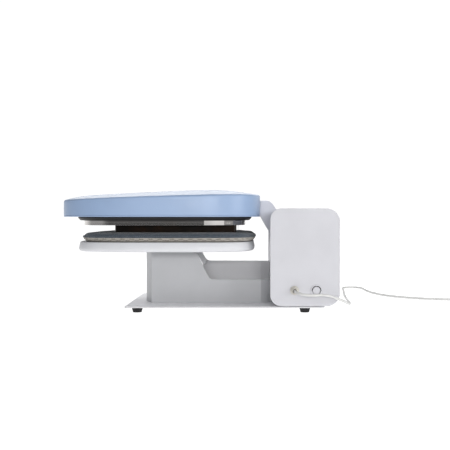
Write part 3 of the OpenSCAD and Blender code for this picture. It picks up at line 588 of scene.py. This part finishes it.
def make_cord():
    line = cord_centreline()
    curve = bpy.data.curves.new("mains_cord", "CURVE")
    curve.dimensions = "3D"
    curve.bevel_depth = CORD_D / 2 * MM
    curve.bevel_resolution = 5
    curve.resolution_u = 6
    curve.use_fill_caps = True
    spline = curve.splines.new("BEZIER")
    spline.bezier_points.add(len(line) - 1)
    for k, (point, p) in enumerate(zip(spline.bezier_points, line)):
        before, after = line[max(k - 1, 0)], line[min(k + 1, len(line) - 1)]
        way = (after - before).normalized()
        point.co = p * MM
        point.handle_left = (p - way * (p - before).length / 3) * MM
        point.handle_right = (p + way * (after - p).length / 3) * MM
    curve.materials.append(MATERIALS["cord_jacket"])
    cord = bpy.data.objects.new("mains_cord", curve)
    SCENE.collection.objects.link(cord)
    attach(cord, "stand")
    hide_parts("cord_run", "cord_coil", "cord_tail")
    return cord


def lathe_x(name, profile, center, steps=48, degrees=30):
    """A solid of revolution about an axis along X: profile points are (x, radius)."""
    rings = [[(x, center[0] + r * math.cos(2 * math.pi * k / steps),
               center[1] + r * math.sin(2 * math.pi * k / steps)) for k in range(steps)]
             for x, r in profile]
    points = [p for ring in rings for p in ring]
    return from_faces(name, points, ring_faces(len(rings), steps, closed=True), degrees)


FACE_X = 166.0
GLAND = (216.5, 51.8)


def make_gland():
    """The flanged gland with its ribbed, tapered strain relief."""
    bore = CORD_D / 2 + 0.25
    profile = [(FACE_X - 16, bore), (FACE_X - 16, 6.3), (FACE_X, 6.3), (FACE_X, 9.6),
               (FACE_X + 0.5, 10), (FACE_X + 3.0, 10), (FACE_X + 3.9, 9.3), (FACE_X + 4.2, 8.4)]
    ribs = 5
    for k in range(ribs):
        x = FACE_X + 4.6 + k * 3.0
        r = 8.0 - 3.0 * k / ribs
        profile += [(x, r - 1.0), (x + 0.9, r - 1.1), (x + 1.1, r), (x + 2.7, r - 0.35),
                    (x + 2.9, r - 1.3)]
    end = FACE_X + 20
    profile += [(end - 0.6, 5.2), (end - 0.1, 5.0), (end, 4.8), (end - 1, 4.3), (end - 9, 4.0),
                (end - 10, bore)]
    return place("gland_sleeve", lathe_x("gland_sleeve", profile, GLAND), "stand", "gland_cream",
                 ["cord_gland"])


def make_plug():
    """A moulded plug: tapered collar with ribs, waisted body with finger ridges, flat face."""
    half_w, half_h = 13.5, 9.0
    stations = [(0, 4.4, 4.4, 2)]
    for k in range(5):
        y, r = 1.5 + k * 3.6, 4.7 + k * 0.45
        stations += [(y, r, r, 2), (y + 0.4, r - 0.8, r - 0.8, 2), (y + 1.6, r - 0.8, r - 0.8, 2),
                     (y + 2.0, r + 0.2, r + 0.2, 2)]
    stations += [(20, 7.2, 7.0, 2.1), (21.5, 9.0, 7.6, 2.4), (23.5, 11.0, 8.4, 3),
                 (26, 12.2, 8.9, 3.6)]
    for k in range(4):
        y = 28.5 + k * 2.6
        stations += [(y, 12.3, 9.0, 4), (y + 0.4, 11.7, 8.6, 4), (y + 1.3, 11.7, 8.6, 4),
                     (y + 1.7, 12.4, 9.0, 4)]
    stations += [(41, half_w, half_h, 4), (45, half_w, half_h, 4.4),
                 (46.4, half_w - 0.5, half_h - 0.5, 4.4), (47, half_w - 1.6, half_h - 1.6, 4.4)]
    steps, rings = 48, []
    for y, a, b, power in stations:
        ring = []
        for k in range(steps):
            angle = 2 * math.pi * k / steps
            c, s = math.cos(angle), math.sin(angle)
            reach = (abs(c) ** power + abs(s) ** power) ** (-1 / power)
            ring.append(PLUG_TAIL + Vector((a * reach * c, y, b * reach * s)))
        rings.append(ring)
    mesh = skin("plug_moulding", rings, 40)
    return place("plug_moulding", mesh, "stand", "cord_jacket", ["plug"])


def make_tie():
    """A hook-and-loop tie round the coil, its tail lapped over the outside."""
    centre = Vector((COIL_CENTER.x - 33, COIL_CENTER.y, 1 + 11.7 / 2))
    reach_x, reach_z, width, thick = 6.25 + 0.75, 5.85 + 0.7, 8.0, 0.9
    outline, steps = [], 60
    for k in range(steps + 9):
        a = 2 * math.pi * k / steps
        c, s = math.cos(a), math.sin(a)
        grow = 1 + 0.13 * clamp((k - steps + 8) / 8)
        lap = (abs(c) ** 3.2 + abs(s) ** 3.2) ** (-1 / 3.2) * grow
        outline.append((reach_x * lap * c, max(reach_z * lap * s, -centre.z + 0.15)))
    points, faces = [], []
    for k, (a, b) in enumerate(outline):
        out = Vector((a, b)).normalized() * thick / 2
        for side, offset in ((-1, -1), (-1, 1), (1, 1), (1, -1)):
            points.append((centre.x + a + out.x * offset, centre.y + side * width / 2,
                           max(centre.z + b + out.y * offset, 0.1)))
    for k in range(len(outline) - 1):
        for i in range(4):
            j = (i + 1) % 4
            faces.append((4 * k + i, 4 * k + j, 4 * k + 4 + j, 4 * k + 4 + i))
    last = 4 * (len(outline) - 1)
    faces += [(0, 1, 2, 3), (last, last + 1, last + 2, last + 3)]
    mesh = from_faces("coil_tie", points, faces)
    return place("coil_tie", mesh, "stand", "tie_black", ["cord_tie"])


cord = make_cord()
make_gland()
make_plug()
coil_tie = make_tie()
round(route_length(cord_centreline()) * MM, 3)

# ---------------------------------------------------------------- head

HOUSING_W, HOUSING_Y, HOUSING_Z = 458.0, -90.25, 218.8
CROWN_H, WALL = 16.0, 3.0
FRONT_Y = HOUSING_Y - HOUSING_W / 2
PANEL_Y, PANEL_W, PANEL_D = -268.0, 150.0, 44.0


def along(y):
    return clamp((y - FRONT_Y) / HOUSING_W)


def rim_z(y):
    return 255.6 + 22.5 * along(y) - 8.5 * along(y) ** 2


def quarter(w):
    return math.sqrt(1 - (1 - clamp(w)) ** 2)


def crown(y):
    return ((0.74 + 0.38 * along(y)) * CROWN_H * quarter(along(y) / 0.16)
            * (1 - (1 - clamp((1 - along(y)) / 0.32)) ** 2))


def half_w(y):
    reach = clamp(abs(y - HOUSING_Y) / (HOUSING_W / 2))
    return HOUSING_W / 2 * (1 - reach ** OUTLINE_POWER) ** (1 / OUTLINE_POWER)


def roof_z(x, y):
    return rim_z(y) + crown(y) * (1 - clamp(abs(x) / max(1.0, half_w(y))) ** 2.5)


def panel_frame():
    front = roof_z(PANEL_W / 2, PANEL_Y - PANEL_D / 2)
    rear = roof_z(PANEL_W / 2, PANEL_Y + PANEL_D / 2)
    tilt = math.atan((rear - front) / PANEL_D)
    return Matrix.Translation((0, PANEL_Y, (front + rear) / 2)) @ Matrix.Rotation(tilt, 4, "X")


ON_PANEL = panel_frame()


def make_housing():
    """The moulded shell: a grooved lower lip, plain walls, a rounded rim and a soft crown."""
    steps = 256
    outline = squircle(HOUSING_W, steps)
    lip = [(0.0, 0.8), (0.7, 0.0), (2.6, 0.0), (2.9, 0.55), (3.5, 0.55), (3.8, 0.0), (12.0, 0.0)]
    rings = []
    for rise, inset in lip:
        share = 1 - 2 * inset / HOUSING_W
        rings.append([(x * share, HOUSING_Y + y * share, HOUSING_Z + rise) for x, y in outline])
    edge_h, edge_w = 4.2, 0.0155
    turns = 7
    for k in range(turns + 1):
        a = math.pi / 2 * k / turns
        share = 1 - edge_w * (1 - math.cos(a))
        ring = []
        for x, y in outline:
            px, py = x * share, HOUSING_Y + y * share
            base = rim_z(py) - edge_h + edge_h * math.sin(a)
            ring.append((px, py, base + (roof_z(px, py) - rim_z(py)) * math.sin(a)))
        rings.append(ring)
    shares = [0.975, 0.96, 0.94, 0.915, 0.885, 0.85, 0.81, 0.765, 0.715, 0.66, 0.60, 0.54, 0.48,
              0.42, 0.36, 0.30, 0.24, 0.18, 0.12, 0.06]
    for share in shares:
        rings.append([(x * share, HOUSING_Y + y * share,
                       roof_z(x * share, HOUSING_Y + y * share)) for x, y in outline])
    outer = len(rings)
    inner_share = 1 - 2 * WALL / HOUSING_W
    inner = [(x * inner_share, HOUSING_Y + y * inner_share) for x, y in outline]
    rings_in = [[(x, y, HOUSING_Z) for x, y in inner],
                [(x, y, rim_z(y) - edge_h - WALL) for x, y in inner]]
    for share in [0.985, 0.96, 0.9, 0.8, 0.68, 0.54, 0.4, 0.26, 0.12]:
        rings_in.append([(x * share, HOUSING_Y + (y - HOUSING_Y) * share,
                          roof_z(x * share, HOUSING_Y + (y - HOUSING_Y) * share) - WALL)
                         for x, y in inner])
    points = [p for ring in rings[::-1] + rings_in for p in ring]
    count = outer + len(rings_in)
    faces = ring_faces(count, steps)
    top, under = len(points), len(points) + 1
    points += [(0, HOUSING_Y, roof_z(0, HOUSING_Y)), (0, HOUSING_Y, roof_z(0, HOUSING_Y) - WALL)]
    for k in range(steps):
        faces.append((top, k, (k + 1) % steps))
        faces.append((under, (count - 1) * steps + (k + 1) % steps, (count - 1) * steps + k))
    shell = from_faces("housing_shell", points, faces, 38)
    notch = block("notch", (-62, 100, HOUSING_Z - 1), (62, 160, 259))
    window = block("window", (-PANEL_W / 2 - 0.2, -PANEL_D / 2 - 0.2, -12),
                   (PANEL_W / 2 + 0.2, PANEL_D / 2 + 0.2, 18), ON_PANEL)
    shell = cut(shell, [notch, window], 38)
    return place("housing_shell", shell, "head", "blue_shell", ["head_housing"])


make_housing()


def flat_pieces(name, outlines, low, high, body, slot, material):
    """Flat shapes standing on the control panel, each an outline in its plane."""
    points, faces = [], []
    for outline in outlines:
        first, n = len(points), len(outline)
        points += [ON_PANEL @ Vector((x, y, z)) for z in (low, high) for x, y in outline]
        faces.append(tuple(first + k for k in range(n))[::-1])
        faces.append(tuple(first + n + k for k in range(n)))
        faces += [(first + k, first + (k + 1) % n, first + n + (k + 1) % n, first + n + k)
                  for k in range(n)]
    mesh = from_faces(name, points, faces)
    mesh.materials.append(material)
    return place(name, mesh, body, slot)


def segment(x, y, length, half, upright):
    """One bar of a seven-bar digit, pointed at both ends."""
    tip = length / 2
    bar = [(-tip, 0), (-tip + half, half), (tip - half, half), (tip, 0), (tip - half, -half),
           (-tip + half, -half)]
    return [(x + (b if upright else a), y + (a if upright else b)) for a, b in bar]


def make_digits():
    """Seven-bar digits of the display, unlit, just above its window."""
    bars = []
    for x in (-54, -45, -36, -20, -11, -2):
        h = 5.2
        bars += [segment(x, h * k, 4.6, 0.55, False) for k in (-1, 0, 1)]
        bars += [segment(x + s * 2.6, h * k / 2, 4.8, 0.55, True) for s in (-1, 1) for k in (-1, 1)]
    flat_pieces("display_digits", bars, -0.26, -0.14, "head", "display_glass", SEGMENTS)


def ringlet(x, y, r, steps=20):
    return [(x + r * math.cos(2 * math.pi * k / steps), y + r * math.sin(2 * math.pi * k / steps))
            for k in range(steps)]


BUTTON_TOP = 0.4


def make_symbols():
    """A plain mark on each button: a disc to start, arrows for up and down, bars for the menu."""
    marks = {
        "start": ((48, 8), [ringlet(0, 0, 2.1)], SYMBOL_LIGHT),
        "up": ((30, 8), [[(-2.6, -1.6), (2.6, -1.6), (0, 2.2)]], SYMBOLS),
        "down": ((30, -9), [[(-2.6, 1.6), (0, -2.2), (2.6, 1.6)]], SYMBOLS),
        "menu": ((48, -9), [[(-2.6, y - 0.45), (2.6, y - 0.45), (2.6, y + 0.45), (-2.6, y + 0.45)]
                            for y in (-1.9, 0, 1.9)], SYMBOLS),
    }
    for key, ((x, y), outlines, material) in marks.items():
        moved = [[(x + a, y + b) for a, b in outline] for outline in outlines]
        slot = "button_green" if key == "start" else "button_grey"
        flat_pieces("mark_" + key, moved, BUTTON_TOP - 0.1, BUTTON_TOP + 0.15,
                    f"button_{key}_cap", slot, material)


make_digits()
make_symbols()

# ---------------------------------------------------------------- lower platen and pad

PLATEN_Y, PLATEN_W, PLATEN_Z, PLATEN_TOP = -80.8, 412.0, 139.8, 161.7
PAD_Y, PAD_W, FOAM_Z, CUSHION_Z = -74.8, 406.0, 163.0, 172.1
PAD_TOP = 183.3


def levels_mesh(name, size, center_y, levels, steps, degrees=32):
    """A closed solid whose outline is a squircle, narrowed by inset at each level (z, inset)."""
    outline = squircle(size, steps)
    rings = [[(x * (1 - 2 * i / size), center_y + y * (1 - 2 * i / size), z) for x, y in outline]
             for z, i in levels]
    return skin(name, rings, degrees)


PLATE_Y, PLATE_W, PLATE_Z, PLATE_T = -85.7, 381.0, 199.5, 11.0


def make_plates():
    """The aluminium plate, with broken edges and a line milled round it, and the skirt above it."""
    low, high, mid = PLATE_Z, PLATE_Z + PLATE_T, PLATE_Z + PLATE_T / 2
    levels = [(low, 0.6), (low + 0.4, 0.05), (low + 0.5, 0), (mid - 0.55, 0), (mid - 0.4, 0.8),
              (mid + 0.4, 0.8), (mid + 0.55, 0), (high - 0.5, 0), (high - 0.4, 0.05), (high, 0.6)]
    mesh = levels_mesh("heating_slab", PLATE_W, PLATE_Y, levels, 320, 8)
    place("heating_slab", mesh, "head", "plate_alu", ["heat_plate"])
    levels = [(high + 0.05, 9), (high + 0.05, 5.2), (high + 0.3, 4.6), (HOUSING_Z - 3.4, 0.4),
              (HOUSING_Z - 2.9, 0), (HOUSING_Z - 0.4, 0), (HOUSING_Z, 0.4)]
    mesh = levels_mesh("skirt_moulding", PLATE_W + 25, PLATE_Y, levels, 320)
    place("skirt_moulding", mesh, "head", "skirt_black", ["skirt_frame"])


def make_platen():
    """The cast platen: rounded lower edge, walls leaning in, crisp upper edge, pockets below."""
    levels = [(PLATEN_Z, 5.4), (PLATEN_Z + 0.3, 4.0), (PLATEN_Z + 1.1, 2.3), (PLATEN_Z + 2.3, 1.1),
              (PLATEN_Z + 4.0, 0.3), (PLATEN_Z + 6.0, 0.0), (PLATEN_Z + 8.0, 0.05),
              (PLATEN_TOP - 2.2, 2.6), (PLATEN_TOP - 1.0, 3.3), (PLATEN_TOP - 0.3, 4.1),
              (PLATEN_TOP, 5.2)]
    mesh = levels_mesh("platen_casting", PLATEN_W, PLATEN_Y, levels, 256)
    pitch, widths = 118, (76, 36)
    cutters = []
    for x in (-1, 0, 1):
        for y in (-1, 0, 1):
            if x or y:
                a, b = widths[abs(x)], widths[abs(y)]
                low = (x * pitch - a, PLATEN_Y + y * pitch - b, PLATEN_Z - 1)
                high = (x * pitch + a, PLATEN_Y + y * pitch + b, PLATEN_Z + 15)
                cutters.append(block("pocket", low, high))
    return place("platen_casting", cut(mesh, cutters), "stand", "platen_paint", ["lower_platen"])


def pad_reach(angle, size):
    return ((abs(math.cos(angle)) ** OUTLINE_POWER + abs(math.sin(angle)) ** OUTLINE_POWER)
            ** (-1 / OUTLINE_POWER) * size / 2)


def cushion_mesh():
    """The pad's cover before it is filled: a grid over the top, rounded down to the seam."""
    cells, size = 72, PAD_W - 1.0
    round_w, base, top = 9.0, CUSHION_Z, PAD_TOP - 1.6
    points, faces = [], []

    def grid(height):
        first = len(points)
        for j in range(cells + 1):
            for i in range(cells + 1):
                u, v = 2 * i / cells - 1, 2 * j / cells - 1
                m = max(abs(u), abs(v))
                a = math.atan2(v, u)
                square = 1 / max(abs(math.cos(a)), abs(math.sin(a)))
                reach = pad_reach(a, 2) / square
                pull = 1 + (reach - 1) * m ** 3
                points.append((u * pull * size / 2, PAD_Y + v * pull * size / 2, height(m)))
        for j in range(cells):
            for i in range(cells):
                a = first + j * (cells + 1) + i
                faces.append((a, a + 1, a + cells + 2, a + cells + 1))

    def cover(m):
        inward = (1 - m) * size / 2
        return base + 1.2 + (top - base - 1.2) * quarter(inward / round_w)

    grid(cover)
    grid(lambda m: base)
    n = cells + 1
    rim = (list(range(n)) + [j * n + cells for j in range(1, n)]
           + [cells * n + i for i in range(cells - 1, -1, -1)]
           + [j * n for j in range(cells - 1, 0, -1)])
    for k, a in enumerate(rim):
        b = rim[(k + 1) % len(rim)]
        faces.append((a, b, b + n * n, a + n * n))
    return from_faces("cushion", points, faces, 180)


FILL_FRAMES = 14
FILL_CAP = 1.5


def fill_with_cloth(mesh):
    """Fills the cover by cloth simulation: the underside is held, no point moves far or sinks."""
    holder = bpy.data.objects.new("cushion_sim", mesh)
    SCENE.collection.objects.link(holder)
    held = holder.vertex_groups.new(name="held")
    held.add([v.index for v in mesh.vertices if v.co.z < (CUSHION_Z + 1.3) * MM], 1.0, "REPLACE")
    modifier = holder.modifiers.new("cloth", "CLOTH")
    settings = modifier.settings
    settings.quality = 5
    settings.mass = 0.25
    settings.tension_stiffness = settings.compression_stiffness = 12
    settings.bending_stiffness = 1.2
    settings.vertex_group_mass = "held"
    settings.use_pressure = True
    settings.uniform_pressure_force = 4
    settings.effector_weights.gravity = 0
    modifier.point_cache.frame_start, modifier.point_cache.frame_end = 1, FILL_FRAMES
    for step in range(1, FILL_FRAMES + 1):
        SCENE.frame_set(step)
    graph = bpy.context.evaluated_depsgraph_get()
    moved = [v.co.copy() for v in holder.evaluated_get(graph).data.vertices]
    holder.modifiers.remove(modifier)
    SCENE.frame_set(1)
    for vertex, after in zip(mesh.vertices, moved):
        shift = after - vertex.co
        shift.z = max(shift.z, 0)
        if shift.length > FILL_CAP * MM:
            shift *= FILL_CAP * MM / shift.length
        vertex.co += shift
    bpy.data.objects.remove(holder)


def make_cushion():
    """The fabric-covered cushion: filled, then flattened where the plate rests, and subdivided."""
    mesh = cushion_mesh()
    fill_with_cloth(mesh)
    limit = (PAD_W / 2 + 0.4) * MM
    for vertex in mesh.vertices:
        co = vertex.co
        wave = noise.noise(Vector((co.x * 14, co.y * 14, 0))) * 0.35 * MM
        slack = clamp((co.z - (CUSHION_Z + 4) * MM) / (5 * MM))
        co.z = min(co.z + wave * slack, PAD_TOP * MM)
        co.z = max(co.z, CUSHION_Z * MM)
        co.x = clamp(co.x, -limit, limit)
        co.y = clamp(co.y, PAD_Y * MM - limit, PAD_Y * MM + limit)
    cushion = place("pad_cushion", mesh, "stand", "pad_fabric", ["pad_cover"])
    finer = cushion.modifiers.new("finer", "SUBSURF")
    finer.levels = finer.render_levels = 1
    return cushion


def make_band():
    """The knitted band under the cushion: it tapers inward and is pierced by two rows of slots."""
    steps, size = 272, PAD_W
    heights = [(FOAM_Z, 7.6), (FOAM_Z + 0.5, 6.7), (FOAM_Z + 1.4, 5.5), (FOAM_Z + 3.4, 3.4),
               (FOAM_Z + 4.6, 2.4), (FOAM_Z + 6.8, 1.3), (CUSHION_Z - 0.3, 1.0), (CUSHION_Z, 1.8)]
    outline = squircle(size, steps)
    rings = [[(x * (1 - 2 * i / size), PAD_Y + y * (1 - 2 * i / size), z) for x, y in outline]
             for z, i in heights]
    mesh = skin("pad_band", rings, 40)
    mesh.materials.append(MATERIALS["pad_foam"])
    mesh.materials.append(KNIT_HOLE_SHADE)
    work = bmesh.new()
    work.from_mesh(mesh)
    rows = {2: 0, 4: 2}
    chosen = []
    for face in work.faces:
        if len(face.verts) != 4:
            continue
        z = face.calc_center_median().z / MM
        for row, shift in rows.items():
            if heights[row][0] < z < heights[row + 1][0]:
                c = face.calc_center_median()
                near = min(range(steps), key=lambda k: (outline[k][0] - c.x / MM) ** 2
                           + (PAD_Y + outline[k][1] - c.y / MM) ** 2)
                if (near + shift) % 4 < 2:
                    chosen.append(face)
    bmesh.ops.inset_individual(work, faces=chosen, thickness=0.3 * MM, depth=-1.4 * MM)
    for face in chosen:
        # The slot floors take the dark knit, painted shade inside the slots.
        face.material_index = 1
    work.to_mesh(mesh)
    work.free()
    smooth(mesh, 40)
    return place("pad_band", mesh, "stand", "pad_foam", ["pad_foam"])


def make_backing():
    levels = [(PLATEN_TOP, 8.6), (PLATEN_TOP + 0.3, 7.6), (FOAM_Z - 0.2, 7.0), (FOAM_Z, 7.4)]
    mesh = levels_mesh("pad_sheet", PAD_W, PAD_Y, levels, 192)
    return place("pad_sheet", mesh, "stand", "pad_rubber", ["pad_backing"])


def make_seam():
    """A bound seam between cushion and band, and a row of stitches above it."""
    steps = 320
    outline = [Vector((x, y + PAD_Y, 0)) for x, y in squircle(PAD_W - 0.6, steps)]
    points, sides = [], 8
    for k, p in enumerate(outline):
        way = (outline[(k + 1) % steps] - outline[k - 1]).normalized()
        out = Vector((way.y, -way.x, 0))
        for i in range(sides):
            a = 2 * math.pi * i / sides
            points.append(p + out * math.cos(a) * 0.75
                          + Vector((0, 0, CUSHION_Z + 0.1 + math.sin(a) * 0.75)))
    mesh = from_faces("pad_seam", points, ring_faces(steps, sides, closed=True), 60)
    place("pad_seam", mesh, "stand", "pad_fabric")
    stitches = 312
    line = [Vector((x, y + PAD_Y, 0)) for x, y in squircle(PAD_W + 0.1, stitches)]
    points, faces = [], []
    for k, p in enumerate(line):
        way = (line[(k + 1) % stitches] - line[k - 1]).normalized()
        out = Vector((way.y, -way.x, 0))
        first = len(points)
        for reach, r in ((-1.5, 0.12), (-1.1, 0.34), (1.1, 0.34), (1.5, 0.12)):
            for i in range(5):
                a = 2 * math.pi * i / 5
                points.append(p + way * reach + out * (math.cos(a) * r)
                              + Vector((0, 0, CUSHION_Z + 2.3 + reach * 0.25 + math.sin(a) * r)))
        for row in range(3):
            for i in range(5):
                j = (i + 1) % 5
                a = first + row * 5
                faces.append((a + i, a + j, a + 5 + j, a + 5 + i))
        faces.append(tuple(first + i for i in range(5)))
        faces.append(tuple(first + 15 + i for i in range(5)))
    mesh = from_faces("pad_stitches", points, faces, 60)
    mesh.materials.append(THREAD)
    place("pad_stitches", mesh, "stand", "pad_fabric")


make_plates()
make_platen()
make_backing()
make_band()
make_cushion()
make_seam()

# ---------------------------------------------------------------- floor, world and lights

FLOOR_GLOW = 0.95


def make_floor():
    """A pale floor that glows a little, as a lit sweep does, so it keeps hardly any shadow."""
    made = Finish("floor", (0.36, 0.36, 0.362), 0.95, Specular_IOR_Level=0.02)
    made.tint((0.34, 0.34, 0.342), made.spread(made.noise(400, 2), 0.4, 0.6))
    made.shader.inputs["Emission Color"].default_value = (1, 1, 1, 1)
    made.shader.inputs["Emission Strength"].default_value = FLOOR_GLOW
    mesh = bpy.data.meshes.new("floor")
    low, high = (-9, -9), (1.45, 9)
    mesh.from_pydata([(low[0], low[1], 0), (high[0], low[1], 0), (high[0], high[1], 0),
                      (low[0], high[1], 0)], [], [(0, 1, 2, 3)])
    mesh.materials.append(made.material)
    floor = bpy.data.objects.new("floor", mesh)
    SCENE.collection.objects.link(floor)


# Towards the room's dark end, a little to the left of straight behind the camera
DARK_END = (math.cos(math.radians(12)), -math.sin(math.radians(12)), 0)
# Brightness near the horizon, by the cosine of the angle to the dark end: from, to, value, value
LOW_ROOM = (0.78, 0.955, 0.42, 0.12)
# Change to the upper room, by the height of the direction: from, to; and that room's brightness
RISE = (0.02, 0.17)
HIGH_ROOM = 0.42
# The backdrop beyond the machine is brighter: by the X of the direction, from, to, value, value
BACKDROP = (-0.75, 0.05, 1.1, LOW_ROOM[2])


def make_world():
    """A light tent: white above, dimmer near the horizon, and dark behind the camera."""
    world = bpy.data.worlds.new("world")
    world.use_nodes = True
    tree = world.node_tree
    nodes, links = tree.nodes, tree.links

    def smoothly(value, numbers):
        made = nodes.new("ShaderNodeMapRange")
        made.interpolation_type = "SMOOTHSTEP"
        links.new(value, made.inputs[0])
        for socket, number in zip(list(made.inputs)[1:5], numbers):
            socket.default_value = number
        return made

    room = nodes["Background"]
    room.inputs["Color"].default_value = (1, 1, 1, 1)
    seen = nodes.new("ShaderNodeBackground")
    seen.inputs["Color"].default_value = (1, 1, 1, 1)
    seen.inputs["Strength"].default_value = 1.05
    way = nodes.new("ShaderNodeTexCoord").outputs["Generated"]
    turned_to = nodes.new("ShaderNodeVectorMath")
    turned_to.operation = "DOT_PRODUCT"
    links.new(way, turned_to.inputs[0])
    turned_to.inputs[1].default_value = DARK_END
    axes = nodes.new("ShaderNodeSeparateXYZ")
    links.new(way, axes.inputs[0])
    backdrop = smoothly(axes.outputs["X"], BACKDROP)
    low = smoothly(turned_to.outputs["Value"], LOW_ROOM)
    links.new(backdrop.outputs[0], low.inputs[3])
    rise = smoothly(axes.outputs["Z"], (*RISE, 0, HIGH_ROOM))
    links.new(low.outputs[0], rise.inputs[3])
    links.new(rise.outputs[0], room.inputs["Strength"])
    path = nodes.new("ShaderNodeLightPath")
    mix = nodes.new("ShaderNodeMixShader")
    links.new(path.outputs["Is Camera Ray"], mix.inputs[0])
    links.new(room.outputs[0], mix.inputs[1])
    links.new(seen.outputs[0], mix.inputs[2])
    links.new(mix.outputs[0], nodes["World Output"].inputs[0])
    SCENE.world = world


def make_light(name, place_m, target, size, power):
    data = bpy.data.lights.new(name, "AREA")
    data.shape = "RECTANGLE"
    data.size, data.size_y = size
    data.energy = power
    light = bpy.data.objects.new(name, data)
    light.location = place_m
    aim = Vector(target) - Vector(place_m)
    light.rotation_euler = aim.to_track_quat("-Z", "Y").to_euler()
    SCENE.collection.objects.link(light)


make_floor()
make_world()
make_light("overhead", (0.2, 0.1, 2.4), (0, 0, 0.2), (2.6, 2.6), 6)
make_light("soft_box", (2.12, 1.13, 0.32), (0, 0.0, 0.2), (1.7, 0.75), 3.0)
make_light("front", (3.0, 0.30, 0.50), (0, 0, 0.1), (1.2, 0.24), 27)
make_light("side_fill", (1.3, 2.0, 0.7), (0.1, 0, 0.15), (1.3, 0.8), 18)
make_light("back", (-1.7, 0.1, 1.2), (0, -0.05, 0.25), (2.2, 1.2), 20)
SCENE.view_settings.view_transform = "Standard"
